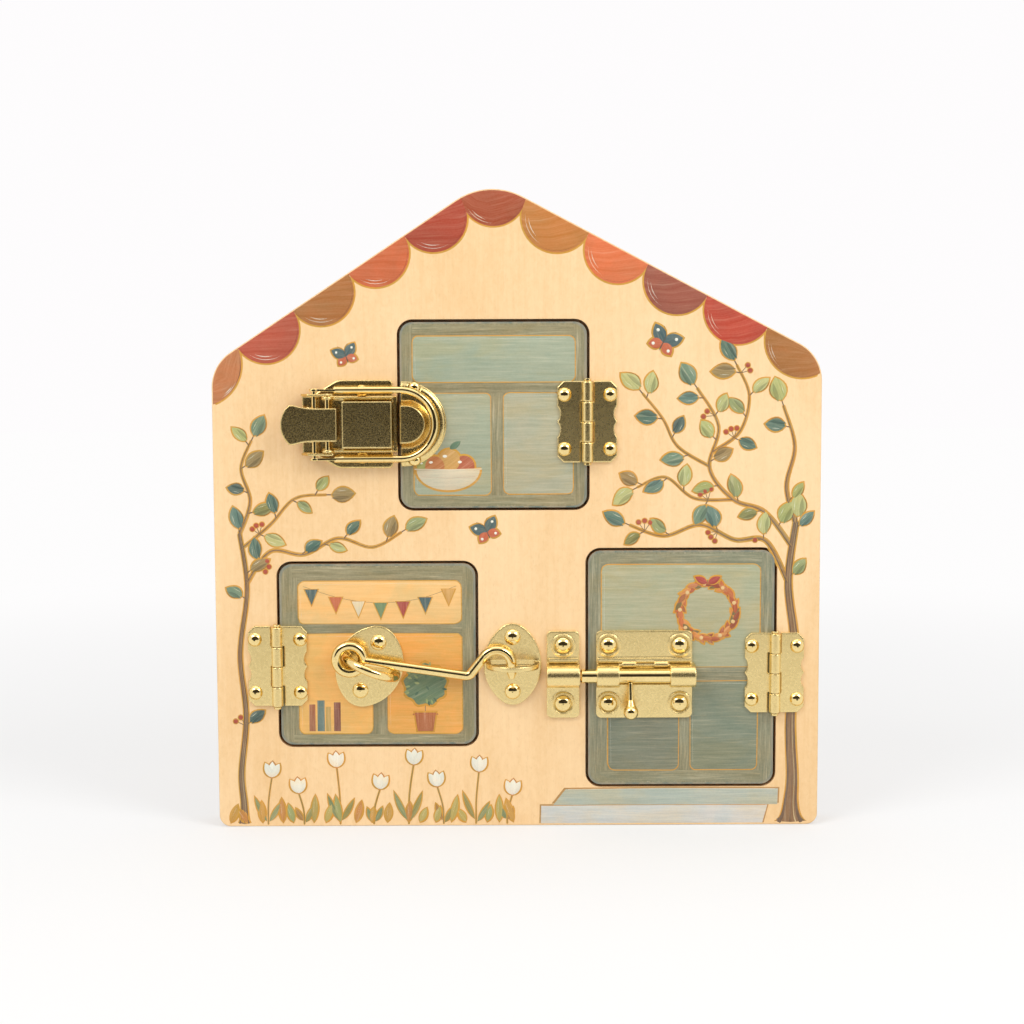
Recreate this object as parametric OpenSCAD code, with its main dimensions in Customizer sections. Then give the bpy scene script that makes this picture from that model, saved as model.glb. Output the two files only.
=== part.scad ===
// Wooden activity house: a free-standing board shaped like a gabled house. Three doors swing
// on brass leaf hinges, and a draw latch, a cabin hook and a barrel bolt hold them shut.
// Sizes are in mm. +Z is up, the painted front faces -Y, and the origin is the middle of
// the underside of the board.

/* [Board] */
// Width of the house across its walls
board_w = 240; // [236:1:260]
// Thickness of the front sheet, which the doors are cut from
front_t = 9; // [7:0.5:12]
// Thickness of the plain sheet behind it
back_t = 9; // [6:0.5:12]
// Height at which the left roof slope would meet the left wall
eave_left_h = 184.8; // [180:1:190]
// Height at which the right roof slope would meet the right wall
eave_right_h = 187.7; // [183:1:193]
// Height of the ridge before it is rounded
ridge_h = 256.9; // [250:1:270]
// Rounding of the ridge
ridge_r = 25.6; // [15:1:30]
// Rounding of the eaves
eave_r = 16.5; // [8:0.5:20]
// Rounding of the two feet
foot_r = 4.5; // [2:0.5:8]

/* [Doors] */
// Width of the upper door opening
top_door_w = 74.6; // [70:1:80]
// Height of the upper door opening
top_door_h = 74.2; // [60:1:80]
// Width of the lower left door opening
left_door_w = 79.0; // [76:1:82]
// Height of the lower left door opening
left_door_h = 73.8; // [60:1:80]
// Width of the lower right door opening
right_door_w = 75.1; // [73:1:80]
// Height of the lower right door opening
right_door_h = 95.4; // [85:1:100]
// Rounding of the door corners
door_r = 5.5; // [3:0.5:9]

/* [Hinges] */
// Height of a hinge leaf
hinge_h = 32; // [28:1:40]
// Width of one leaf, from the pin to its wavy edge
leaf_w = 11.7; // [11:0.1:13]
// Outer size of the knuckles
knuckle_d = 4.4; // [4:0.1:5]
// Size of the hinge pin
pin_d = 2.0; // [1.6:0.1:2.4]

/* [Brassware] */
// Thickness of the sheet that the plates are pressed from
plate_t = 1.2; // [0.8:0.1:1.5]
// Wire of the cabin hook
hook_wire_d = 3.9; // [3.2:0.1:4.0]
// Wire of the draw latch loop
bail_wire_d = 2.8; // [2.2:0.1:3.0]
// Size of the sliding bolt
rod_d = 5.6; // [5:0.1:6]
// Size of the bolt's knob
knob_d = 5.9; // [5:0.1:7]
// Shank of every rivet
shank_d = 2.4; // [1.8:0.1:2.6]

/* [Hidden] */
$fn = 48;
birch = "#f2d6a2";
sage = "#7f8e7c";
brass = "#d9b85c";

board_t = front_t + back_t;
ridge_x = -10.8;
fit = 0.05;          // running fit, on the radius
loose = 0.12;        // clearance round a rivet or a staple leg, on the radius
over = 1;            // how far a cutting tool runs past the face it cuts

// Leaf hinges: height of the pin axis off the face, and the swing that it leaves room for
axis_h = knuckle_d / 2 + 0.15;
leaf_t = 1.0;
knuckles = 4;
knuckle_gap = 0.3;
knuckle_pitch = hinge_h / knuckles;
leaf_relief = 0.4;
leaf_chamfer = 2.4;
leaf_rivet_x = leaf_w - 2.7;
leaf_rivet_y = hinge_h / 2 - 5.3;
notch_r = 4.5;
notch_depth = 1.1;
notch_y = 3.1;

// Doors: the gap lets the back edge of the narrowest door swing out past the sheet
door_back_gap = 0.3;
door_t = front_t - door_back_gap;
swing_clear = 0.27;
swing_r = min(top_door_w, left_door_w, right_door_w) - 0.55;
door_gap = norm([swing_r, door_t + axis_h]) - swing_r + swing_clear;

// Door edges, at the middle of the gap
top_x1 = 28.1;
top_x0 = top_x1 - top_door_w;
top_z0 = 127.6;
left_x0 = -95.2;
left_x1 = left_x0 + left_door_w;
left_z0 = 32.7;
right_x1 = 102.6;
right_x0 = right_x1 - right_door_w;
right_z0 = 16.0;

// Pin axes and the heights of the hinges and catches
top_axis_x = top_x1 - 0.4;
left_axis_x = left_x0 - 0.4;
right_axis_x = right_x1 - 0.4;
top_hinge_z = 162.0;
left_hinge_z = 65.2;
right_hinge_z = 61.8;

// Rivets: dome heads in front, tails sunk in counterbores at the back of each sheet
tail_d = 4.4;
tail_h = 1.0;
tail_sink = 0.3;
small_head = [5.6, 1.5];
ear_head = [4.8, 1.4];
hook_head = [6.4, 1.6];
bolt_head = [6.9, 1.8];

// Draw latch, measured from the middle of the gap beside the upper door
latch_x = top_x0;
latch_z = 161.4;
pivot = [-27.6, 5.8];
bail_pin = [-32.8, 5.0];
latch_pin_d = 2.0;
latch_sheet = 0.9;
latch_plate_t = 1.0;
bail_r = 13.5;
bail_end_x = 0.9;
arm_in = 11.15;
flange_in = 9.9;
tab_half = 6.45;
tab_top = 8.5;
deck = [-21.7, -2.4, 9.1];
base_x0 = -34.3;
base_half = 17.3;
base_shoulder = [-24, 7];
base_rivet = [-14.4, 13.1];
floor_half = 11;
tongue_x = [0.8, 3.1];
tongue_r = [9.6, 7.3];
tongue_top = 6.6;
keeper_x0 = 0.9;
keeper_c = 2.0;
keeper_r = 16.7;
keeper_rivet = [6.2, 14.3];
rim_c = [14.3, -0.9];
rim_r = 2.6;

// Cabin hook, measured from the middle of the gap beside the lower left door
hook_x = left_x1;
eye_plate_c = [-42.9, 65.0];
eye_plate = [26.5, 33.6, 8.5];
eye_plate_turn = -21;
eye_rivet_y = 10.3;
staple_c = [-42.3, 65.0];
staple_turn = -22.4;
staple_half = 10.4;
staple_leg = 2.2;
staple_wire_d = 3.6;
staple_depth = 5;
hook_eye = [-50.3, 68.8];
hook_eye_h = 6.4;
hook_eye_r = 5.3;
shank_end = [-3.2, 61.5];
arch_c = [7.8, 66.5];
arch_r = 6.0;
arch_slope = 50;
bend_r = 2.4;
bend_swell = 0.04;
leg_h = plate_t + hook_wire_d / 2 + 0.25;
tip_z = 60.2;
tip_taper = 2.2;
tip_r = 1.0;
catch_c = [14.1, 65.6];
catch_plate = [22.9, 32.6, 7];
catch_rivet_y = 10.9;
strap_z = 66.0;
strap_h = 1.8;
strap_t = 1.6;
strap_half = 10.4;
strap_top = 16.5;
slot_depth = 0.7;

// Barrel bolt, measured from the middle of the gap beside the lower right door
bolt_x = right_x0;
bolt_z = 61.4;
rod_h = rod_d / 2 + 2.2;
keep_x = [-16.0, -3.0];
keep_half = 17.4;
barrel_x = [3.7, 41.9];
barrel_half = 17.5;
clip_l = 8.9;
clip_r_l = 9.1;
clip_wall = 1.7;
keep_clear = 0.35;
rod_x = [keep_x[1] + 0.25, barrel_x[1] - 0.4];
rail_h = 2.0;
rail_t = 1.0;
stem_x = barrel_x[0] + clip_l + 4.4;
stem_d = 2.2;
stem_tilt = 20;
stem_root = 0.12;
knob_reach = 14.5;
keep_rivet_y = 11.7;
barrel_rivet = [4.9, 11.7];
bead_r = 4.2;
bead_w = 0.9;
fold_w = 1.7;
fold_h = 1.6;

// ---- rivet positions, each in the face frame ----

function leaf_rivets(x, y, side) =
    [for (s = [-1, 1]) [x + side * leaf_rivet_x, y + s * leaf_rivet_y]];

frame_leaf_rivets = concat(
    leaf_rivets(top_axis_x, top_hinge_z, 1),
    leaf_rivets(left_axis_x, left_hinge_z, -1),
    leaf_rivets(right_axis_x, right_hinge_z, 1));
top_leaf_rivets = leaf_rivets(top_axis_x, top_hinge_z, -1);
left_leaf_rivets = leaf_rivets(left_axis_x, left_hinge_z, 1);
right_leaf_rivets = leaf_rivets(right_axis_x, right_hinge_z, -1);
latch_base_at = [for (s = [-1, 1]) [latch_x + base_rivet[0], latch_z + s * base_rivet[1]]];
latch_keeper_at = [for (s = [-1, 1]) [latch_x + keeper_rivet[0], latch_z + s * keeper_rivet[1]]];
eye_plate_at = [for (s = [-1, 1])
    [hook_x + eye_plate_c[0] - s * eye_rivet_y * sin(eye_plate_turn),
     eye_plate_c[1] + s * eye_rivet_y * cos(eye_plate_turn)]];
catch_at = [for (s = [-1, 1]) [hook_x + catch_c[0], catch_c[1] + s * catch_rivet_y]];
keep_at = [for (s = [-1, 1])
    [bolt_x + (keep_x[0] + keep_x[1]) / 2, bolt_z + s * keep_rivet_y]];
barrel_at = [for (e = [0, 1], s = [-1, 1])
    [bolt_x + barrel_x[e] + (1 - 2 * e) * barrel_rivet[0], bolt_z + s * barrel_rivet[1]]];

// ---- shared shapes ----

// Lays the children on the painted front: x to the right, y up, z out of the face.
module face_frame() {
    translate([0, -board_t / 2, 0])
        rotate([90, 0, 0])
            children();
}

function toward(a, b) = (b - a) / norm(b - a);

// Half the angle between the two edges that meet at corner i.
function half_angle(c, i) =
    let (n = len(c), p = [c[i][0], c[i][1]],
         a = [c[(i + n - 1) % n][0], c[(i + n - 1) % n][1]],
         b = [c[(i + 1) % n][0], c[(i + 1) % n][1]])
    acos(toward(p, a) * toward(p, b)) / 2;

// The points where a rounded corner leaves its two edges.
function corner_ends(c, i) =
    let (n = len(c), p = [c[i][0], c[i][1]],
         a = [c[(i + n - 1) % n][0], c[(i + n - 1) % n][1]],
         b = [c[(i + 1) % n][0], c[(i + 1) % n][1]],
         cut = c[i][2] / tan(half_angle(c, i)))
    [p + toward(p, a) * cut, p + toward(p, b) * cut];

function corner_centre(c, i) =
    let (p = [c[i][0], c[i][1]], e = corner_ends(c, i), m = (e[0] + e[1]) / 2)
    p + toward(p, m) * c[i][2] / sin(half_angle(c, i));

// A convex outline from corners given as [x, y, radius], with true arcs at the corners.
module rounded_outline(c) {
    polygon([for (i = [0:len(c) - 1], e = corner_ends(c, i)) e]);
    for (i = [0:len(c) - 1])
        translate(corner_centre(c, i))
            circle(c[i][2]);
}

module rounded_box_outline(x0, x1, y0, y1, r) {
    rounded_outline([[x0, y0, r], [x1, y0, r], [x1, y1, r], [x0, y1, r]]);
}

// A long oval of four arcs: size is [width, height, end radius].
module oval_outline(size) {
    end_y = size[1] / 2 - size[2];
    half = size[0] / 2;
    side_r = (half * half + end_y * end_y - size[2] * size[2]) / (2 * (half - size[2]));
    band = end_y * side_r / (side_r - size[2]);
    intersection() {
        translate([half - side_r, 0])
            circle(side_r);
        translate([side_r - half, 0])
            circle(side_r);
        square([size[0] + over, 2 * band], center = true);
    }
    for (s = [-1, 1])
        translate([0, s * end_y])
            circle(size[2]);
}

// A plate that stands on edge: its side view is drawn in x and z, and it starts at y.
module upright(y, t) {
    translate([0, y + t, 0])
        rotate([90, 0, 0])
            linear_extrude(t)
                children();
}

// A round bar along x.
module bar_x(x0, x1, r) {
    translate([x0, 0, 0])
        rotate([0, 90, 0])
            cylinder(h = x1 - x0, r = r);
}

// A round bar along y.
module bar_y(y0, y1, r) {
    translate([0, y0, 0])
        rotate([-90, 0, 0])
            cylinder(h = y1 - y0, r = r);
}

// A straight piece of wire from a to b in the plane it is bent in, run on a little at each end.
module wire(a, b, r, on_a, on_b) {
    translate([a[0], a[1], 0])
        rotate([0, 0, atan2(b[1] - a[1], b[0] - a[0])])
            bar_x(-on_a, norm(b - a) + on_b, r);
}

// Wire bent along the corners [x, y, bend radius]. The bends are a hair thicker, and the
// straight pieces run a little way into them, so that the whole is one piece.
module bent_wire(c, r) {
    last = len(c) - 1;
    run_on = 0.15;
    for (i = [0:last - 1])
        wire(i == 0 ? [c[0][0], c[0][1]] : corner_ends(c, i)[1],
             i == last - 1 ? [c[last][0], c[last][1]] : corner_ends(c, i + 1)[0],
             r, i == 0 ? 0 : run_on, i == last - 1 ? 0 : run_on);
    for (i = [1:last - 1]) {
        o = corner_centre(c, i);
        e = corner_ends(c, i);
        a = atan2(e[0][1] - o[1], e[0][0] - o[0]);
        b = atan2(e[1][1] - o[1], e[1][0] - o[0]);
        turn = (b - a + 540) % 360 - 180;
        translate([o[0], o[1], 0])
            rotate([0, 0, turn > 0 ? a : b])
                rotate_extrude(angle = abs(turn))
                    translate([c[i][2], 0])
                        circle(r + bend_swell);
    }
}

// Dome-headed rivets at the given points: head is [size, height], its seat the plate's top,
// and depth the thickness of the sheet it is closed in.
module rivets(points, head, seat, depth) {
    dome_r = (head[0] * head[0] / 4 + head[1] * head[1]) / (2 * head[1]);
    for (p = points)
        translate([p[0], p[1], 0]) {
            translate([0, 0, seat])
                intersection() {
                    translate([0, 0, head[1] - dome_r])
                        sphere(dome_r);
                    cylinder(h = head[1], d = head[0]);
                }
            translate([0, 0, tail_sink - depth])
                cylinder(h = depth - tail_sink + seat, d = shank_d);
            translate([0, 0, tail_sink - depth])
                cylinder(h = tail_h, d = tail_d);
        }
}

// The holes those rivets need in a sheet: a shank hole and a counterbore for the tail.
module rivet_bores(points, depth) {
    for (p = points)
        translate([p[0], p[1], 0]) {
            translate([0, 0, -depth - over])
                cylinder(h = depth + 2 * over, r = shank_d / 2 + loose);
            translate([0, 0, -depth - over])
                cylinder(h = over + tail_sink + tail_h + loose, r = tail_d / 2 + loose);
        }
}

// Round holes through a flat plate, for the rivet shanks.
module shank_holes(points) {
    for (p = points)
        translate([p[0], p[1]])
            circle(shank_d / 2 + loose);
}

// ---- wooden pieces ----

module house_outline() {
    rounded_outline([
        [-board_w / 2, 0, foot_r], [board_w / 2, 0, foot_r],
        [board_w / 2, eave_right_h, eave_r], [ridge_x, ridge_h, ridge_r],
        [-board_w / 2, eave_left_h, eave_r]]);
}

// A door outline, grown or shrunk by half the gap.
module door_outline(x0, x1, y0, h, grow) {
    rounded_box_outline(x0 - grow, x1 + grow, y0 - grow, y0 + h + grow, door_r + grow);
}

module door_sheet(x0, x1, y0, h) {
    translate([0, 0, -door_t])
        linear_extrude(door_t)
            door_outline(x0, x1, y0, h, -door_gap / 2);
}

module front_panel() {
    color(birch)
        face_frame()
            difference() {
                translate([0, 0, -front_t])
                    linear_extrude(front_t)
                        difference() {
                            house_outline();
                            door_outline(top_x0, top_x1, top_z0, top_door_h, door_gap / 2);
                            door_outline(left_x0, left_x1, left_z0, left_door_h, door_gap / 2);
                            door_outline(right_x0, right_x1, right_z0, right_door_h, door_gap / 2);
                        }
                rivet_bores(concat(frame_leaf_rivets, latch_base_at, catch_at, keep_at), front_t);
            }
}

module back_panel() {
    color(birch)
        face_frame()
            translate([0, 0, -board_t])
                linear_extrude(back_t)
                    house_outline();
}

module top_door() {
    color(sage)
        face_frame()
            difference() {
                door_sheet(top_x0, top_x1, top_z0, top_door_h);
                rivet_bores(concat(top_leaf_rivets, latch_keeper_at), door_t);
            }
}

module left_door() {
    color(sage)
        face_frame()
            difference() {
                door_sheet(left_x0, left_x1, left_z0, left_door_h);
                rivet_bores(concat(left_leaf_rivets, eye_plate_at), door_t);
                staple_place()
                    for (s = [-1, 1])
                        translate([s * staple_half, 0, -staple_depth - loose])
                            cylinder(h = staple_depth + over, r = staple_wire_d / 2 + loose);
            }
}

module right_door() {
    color(sage)
        face_frame()
            difference() {
                door_sheet(right_x0, right_x1, right_z0, right_door_h);
                rivet_bores(concat(right_leaf_rivets, barrel_at), door_t);
            }
}

// ---- leaf hinges ----

// One leaf, lying to the right of its pin, with the knuckles first, first + 2 and so on.
module leaf(first) {
    relief = knuckle_d / 2 + leaf_relief;
    difference() {
        union() {
            linear_extrude(leaf_t)
                difference() {
                    polygon([
                        [0, -hinge_h / 2], [leaf_w - leaf_chamfer, -hinge_h / 2],
                        [leaf_w, leaf_chamfer - hinge_h / 2], [leaf_w, hinge_h / 2 - leaf_chamfer],
                        [leaf_w - leaf_chamfer, hinge_h / 2], [0, hinge_h / 2]]);
                    for (s = [-1, 1])
                        translate([leaf_w + notch_r - notch_depth, s * notch_y])
                            circle(notch_r);
                    for (i = [1 - first:2:knuckles - 1])
                        translate([-over, i * knuckle_pitch - hinge_h / 2 - knuckle_gap / 2])
                            square([relief + over, knuckle_pitch + knuckle_gap]);
                    for (s = [-1, 1])
                        translate([leaf_rivet_x, s * leaf_rivet_y])
                            circle(shank_d / 2 + loose);
                }
            for (i = [first:2:knuckles - 1])
                translate([0, i * knuckle_pitch - hinge_h / 2, axis_h])
                    bar_y(knuckle_gap / 2, knuckle_pitch - knuckle_gap / 2, knuckle_d / 2);
        }
        translate([0, 0, axis_h])
            bar_y(-hinge_h / 2 - over, hinge_h / 2 + over, pin_d / 2 + fit);
    }
}

module leaf_right(x, y, first) {
    color(brass)
        face_frame()
            translate([x, y, 0])
                leaf(first);
}

module leaf_left(x, y, first) {
    color(brass)
        face_frame()
            translate([x, y, 0])
                mirror([1, 0, 0])
                    leaf(first);
}

// A pin with a thin head at each end.
module pin(x, y) {
    head_d = pin_d + 1.0;
    head_l = 0.8;
    seat = hinge_h / 2 + knuckle_gap / 2;
    color(brass)
        face_frame()
            translate([x, y, axis_h]) {
                bar_y(-seat, seat, pin_d / 2);
                bar_y(seat, seat + head_l, head_d / 2);
                bar_y(-seat - head_l, -seat, head_d / 2);
            }
}

module top_hinge_frame_leaf() {
    leaf_right(top_axis_x, top_hinge_z, 0);
}

module top_hinge_door_leaf() {
    leaf_left(top_axis_x, top_hinge_z, 1);
}

module top_hinge_pin() {
    pin(top_axis_x, top_hinge_z);
}

module left_hinge_frame_leaf() {
    leaf_left(left_axis_x, left_hinge_z, 0);
}

module left_hinge_door_leaf() {
    leaf_right(left_axis_x, left_hinge_z, 1);
}

module left_hinge_pin() {
    pin(left_axis_x, left_hinge_z);
}

module right_hinge_frame_leaf() {
    leaf_right(right_axis_x, right_hinge_z, 0);
}

module right_hinge_door_leaf() {
    leaf_left(right_axis_x, right_hinge_z, 1);
}

module right_hinge_pin() {
    pin(right_axis_x, right_hinge_z);
}

module frame_hinge_rivets() {
    color(brass)
        face_frame()
            rivets(frame_leaf_rivets, small_head, leaf_t, front_t);
}

module top_door_hinge_rivets() {
    color(brass)
        face_frame()
            rivets(top_leaf_rivets, small_head, leaf_t, door_t);
}

module left_door_hinge_rivets() {
    color(brass)
        face_frame()
            rivets(left_leaf_rivets, small_head, leaf_t, door_t);
}

module right_door_hinge_rivets() {
    color(brass)
        face_frame()
            rivets(right_leaf_rivets, small_head, leaf_t, door_t);
}

// ---- draw latch on the upper door ----

// Places the children at the gap beside the upper door, at the latch's height.
module latch_place() {
    color(brass)
        face_frame()
            translate([latch_x, latch_z, 0])
                children();
}

module latch_base() {
    latch_place() {
        difference() {
            linear_extrude(latch_plate_t)
                difference() {
                    union() {
                        rounded_outline([
                            [base_x0, -floor_half, 1], [base_shoulder[0], -base_half, base_shoulder[1]],
                            [deck[1], -base_half, 1.6], [deck[1], base_half, 1.6],
                            [base_shoulder[0], base_half, base_shoulder[1]], [base_x0, floor_half, 1]]);
                        translate([deck[1] - over, -floor_half])
                            square([over - deck[1] - door_gap / 2, 2 * floor_half]);
                    }
                    for (s = [-1, 1])
                        translate([base_rivet[0], s * base_rivet[1]])
                            circle(shank_d / 2 + loose);
                }
        }
        // raised deck, pressed up from below
        difference() {
            translate([deck[0], -deck[2], 0])
                cube([deck[1] - deck[0], 2 * deck[2], tab_top]);
            translate([deck[0] + latch_sheet, latch_sheet - deck[2], latch_plate_t])
                cube([deck[1] - deck[0] - 2 * latch_sheet, 2 * (deck[2] - latch_sheet),
                      tab_top - latch_plate_t - latch_sheet]);
        }
        // side walls that carry the pivot pin
        for (y = [-flange_in - latch_sheet, flange_in])
            upright(y, latch_sheet)
                difference() {
                    union() {
                        translate(pivot)
                            circle(2.4);
                        translate([pivot[0] - 2.4, 0])
                            square([4.8, pivot[1]]);
                        translate([pivot[0], 0])
                            square([deck[1] - pivot[0], 5.2]);
                    }
                    translate(pivot)
                        circle(latch_pin_d / 2 + fit);
                }
    }
}

module latch_base_rivets() {
    color(brass)
        face_frame()
            rivets(latch_base_at, ear_head, latch_plate_t, front_t);
}

module latch_pivot_pin() {
    end_y = arm_in + latch_sheet + 0.1;
    latch_place()
        translate([pivot[0], 0, pivot[1]])
            bar_y(-end_y, end_y, latch_pin_d / 2);
}

// The finger tab, seen from the front: a flared round end on a narrower neck.
module tab_outline() {
    neck_x = -32;
    flare_r = 30;
    end_r = 10.5;
    end_x = -45.7;
    translate([neck_x, -tab_half])
        square([pivot[0] + 3.7 - neck_x, 2 * tab_half]);
    difference() {
        intersection() {
            translate([end_x + end_r, 0])
                circle(end_r);
            translate([end_x - over, -tab_half - over * 1.3])
                square([neck_x - end_x + over, 2 * (tab_half + over * 1.3)]);
        }
        for (s = [-1, 1])
            translate([neck_x, s * (tab_half + flare_r)])
                circle(flare_r);
    }
}

module latch_lever() {
    web_x = [bail_pin[0] - 4.8, bail_pin[0] + 1.6];
    web_z = 2.6;
    arm_top = pivot[1] + 1.4;
    arm_x1 = pivot[0] + 2.2;
    flange_x = pivot[0] + 3.3;
    latch_place()
        difference() {
            union() {
                translate([0, 0, tab_top - latch_sheet])
                    linear_extrude(latch_sheet)
                        tab_outline();
                for (y = [-tab_half, tab_half - latch_sheet])
                    upright(y, latch_sheet)
                        translate([web_x[0] + 2, web_z])
                            square([flange_x - web_x[0] - 2, tab_top - latch_sheet / 2 - web_z]);
                for (y = [-arm_in - latch_sheet, arm_in])
                    upright(y, latch_sheet)
                        polygon([
                            [web_x[0] - 0.6, web_z], [arm_x1, web_z],
                            [arm_x1, arm_top], [web_x[0] + 2.4, arm_top]]);
                translate([web_x[0], -arm_in - latch_sheet, web_z])
                    cube([web_x[1] - web_x[0], 2 * (arm_in + latch_sheet), latch_sheet]);
            }
            for (p = [pivot, bail_pin])
                translate([p[0], 0, p[1]])
                    bar_y(-arm_in - over * 2, arm_in + over * 2, latch_pin_d / 2 + fit);
        }
}

module latch_bail_pin() {
    end_y = bail_r + 0.7;
    latch_place()
        translate([bail_pin[0], 0, bail_pin[1]])
            bar_y(-end_y, end_y, latch_pin_d / 2);
}

// A wire loop whose two ends are flattened and pierced for the bail pin.
module latch_bail() {
    eye_r = 1.9;
    eye_l = 7.8;
    latch_place()
        translate([0, 0, bail_pin[1]]) {
            translate([bail_end_x, 0, 0])
                intersection() {
                    rotate_extrude()
                        translate([bail_r, 0])
                            circle(bail_wire_d / 2);
                    translate([0, -bail_r - bail_wire_d, -bail_wire_d])
                        cube([bail_r + bail_wire_d, 2 * (bail_r + bail_wire_d), 2 * bail_wire_d]);
                }
            for (s = [-1, 1])
                translate([0, s * bail_r, 0])
                    bar_x(bail_pin[0] + eye_l, bail_end_x, bail_wire_d / 2);
            for (s = [-1, 1])
                upright(s * bail_r - latch_sheet / 2, latch_sheet)
                    translate([bail_pin[0], 0])
                        difference() {
                            union() {
                                circle(eye_r);
                                translate([0, -bail_wire_d / 2])
                                    square([eye_l + 0.6, bail_wire_d]);
                            }
                            circle(latch_pin_d / 2 + fit);
                        }
        }
}

// The half-round tongue that the loop closes round, drawn smaller by the given inset.
module tongue_block(inset) {
    base_r = tongue_r[0] - inset;
    top_r = tongue_r[1] - inset;
    top = tongue_top - inset;
    translate([tongue_x[0] + (inset > 0 ? -over : 0), 0, 0])
        rotate([90, 0, 90])
            linear_extrude(tongue_x[1] - tongue_x[0] + (inset > 0 ? over : 0))
                polygon([[-base_r, 0], [base_r, 0], [top_r, top], [-top_r, top]]);
    intersection() {
        translate([tongue_x[1], 0, 0])
            cylinder(h = top, r1 = base_r, r2 = top_r);
        translate([tongue_x[1], -tongue_r[0] - over, -over])
            cube([tongue_r[0] + over, 2 * (tongue_r[0] + over), tongue_top + 2 * over]);
    }
}

module latch_keeper() {
    latch_place()
        difference() {
            union() {
                linear_extrude(latch_plate_t)
                    intersection() {
                        translate([keeper_c, 0])
                            circle(keeper_r);
                        translate([keeper_x0, -keeper_r - over])
                            square([2 * keeper_r, 2 * (keeper_r + over)]);
                    }
                // half-round rim round the loop
                translate([keeper_c, 0, 0])
                    intersection() {
                        rotate_extrude()
                            intersection() {
                                translate(rim_c)
                                    circle(rim_r);
                                square([2 * keeper_r, rim_r]);
                            }
                        translate([keeper_x0 - keeper_c, -keeper_r - over, 0])
                            cube([2 * keeper_r, 2 * (keeper_r + over), rim_r]);
                    }
                tongue_block(0);
            }
            tongue_block(latch_sheet);
            for (s = [-1, 1])
                translate([keeper_rivet[0], s * keeper_rivet[1], 0]) {
                    translate([0, 0, -over])
                        cylinder(h = 3 * over, r = shank_d / 2 + loose);
                    translate([0, 0, latch_plate_t])
                        cylinder(h = rim_r, r = ear_head[0] / 2 + 0.15);
                }
        }
}

module latch_keeper_rivets() {
    color(brass)
        face_frame()
            rivets(latch_keeper_at, ear_head, latch_plate_t, door_t);
}

// ---- cabin hook on the lower left door ----

module hook_eye_plate() {
    color(brass)
        face_frame()
            difference() {
                translate([hook_x + eye_plate_c[0], eye_plate_c[1], 0])
                    rotate([0, 0, eye_plate_turn])
                        linear_extrude(plate_t)
                            oval_outline(eye_plate);
                translate([0, 0, -over])
                    linear_extrude(plate_t + 2 * over)
                        shank_holes(eye_plate_at);
                staple_place()
                    for (s = [-1, 1])
                        translate([s * staple_half, 0, -over])
                            cylinder(h = plate_t + 2 * over, r = staple_wire_d / 2 + loose);
            }
}

module hook_eye_plate_rivets() {
    color(brass)
        face_frame()
            rivets(eye_plate_at, hook_head, plate_t, door_t);
}

module staple_place() {
    translate([hook_x + staple_c[0], staple_c[1], 0])
        rotate([0, 0, staple_turn])
            children();
}

// A half ring that stands out of the eye plate, with its two legs let into the door.
module hook_staple() {
    color(brass)
        face_frame()
            staple_place() {
                translate([0, 0, staple_leg])
                    rotate([90, 0, 0])
                        rotate_extrude(angle = 180)
                            translate([staple_half, 0])
                                circle(staple_wire_d / 2);
                for (s = [-1, 1])
                    translate([s * staple_half, 0, -staple_depth])
                        cylinder(h = staple_depth + staple_leg, r = staple_wire_d / 2);
            }
}

// The hook is bent in one plane, which leans in so that its tip lies close to the catch.
module cabin_hook() {
    r = hook_wire_d / 2;
    arch = arch_c - hook_eye;
    foot_x = arch[0] + arch_r;
    crown = [foot_x, arch[1] + arch_r / tan(45 - arch_slope / 2)];
    tip_y = tip_z - hook_eye[1];
    lean = asin((hook_eye_h - leg_h) / foot_x);
    color(brass)
        face_frame()
            translate([hook_x + hook_eye[0], hook_eye[1], hook_eye_h])
                rotate([0, lean, 0]) {
                    rotate_extrude()
                        translate([hook_eye_r, 0])
                            circle(r + 2 * bend_swell);
                    bent_wire([
                        concat(toward(hook_eye, shank_end) * hook_eye_r, 0),
                        concat(shank_end - hook_eye, bend_r),
                        concat(crown, arch_r), [foot_x, tip_y + tip_taper - bend_swell, 0]], r);
                    translate([foot_x, tip_y + tip_taper, 0])
                        rotate([90, 0, 0])
                            cylinder(h = tip_taper, r1 = r, r2 = tip_r);
                }
}

// The strap stands out of the catch plate, over a shallow slot.
module hook_catch() {
    inner = strap_half - strap_t;
    straight = strap_top - strap_half;
    color(brass)
        face_frame()
            translate([hook_x + catch_c[0], 0, 0]) {
                difference() {
                    linear_extrude(plate_t)
                        difference() {
                            translate([0, catch_c[1]])
                                oval_outline(catch_plate);
                            for (s = [-1, 1])
                                translate([0, catch_c[1] + s * catch_rivet_y])
                                    circle(shank_d / 2 + loose);
                        }
                    translate([-inner, strap_z - strap_h / 2, plate_t - slot_depth])
                        cube([2 * inner, strap_h, plate_t]);
                }
                upright(strap_z - strap_h / 2, strap_h)
                    difference() {
                        union() {
                            translate([0, straight])
                                circle(strap_half);
                            translate([-strap_half, 0])
                                square([2 * strap_half, straight]);
                        }
                        translate([0, straight])
                            circle(inner);
                        translate([-inner, -strap_half])
                            square([2 * inner, straight + strap_half]);
                        translate([-strap_half - over, -strap_half])
                            square([2 * (strap_half + over), strap_half]);
                    }
            }
}

module hook_catch_rivets() {
    color(brass)
        face_frame()
            rivets(catch_at, hook_head, plate_t, front_t);
}

// ---- barrel bolt on the lower right door ----

// Places the children on the bolt's axis, at the gap beside the lower right door.
module bolt_place() {
    color(brass)
        face_frame()
            translate([bolt_x, bolt_z, 0])
                children();
}

// A low ring pressed up round a bolt rivet.
module bead(x, y) {
    translate([x, y, plate_t])
        rotate_extrude()
            translate([bead_r, 0])
                circle(bead_w / 2);
}

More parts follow.
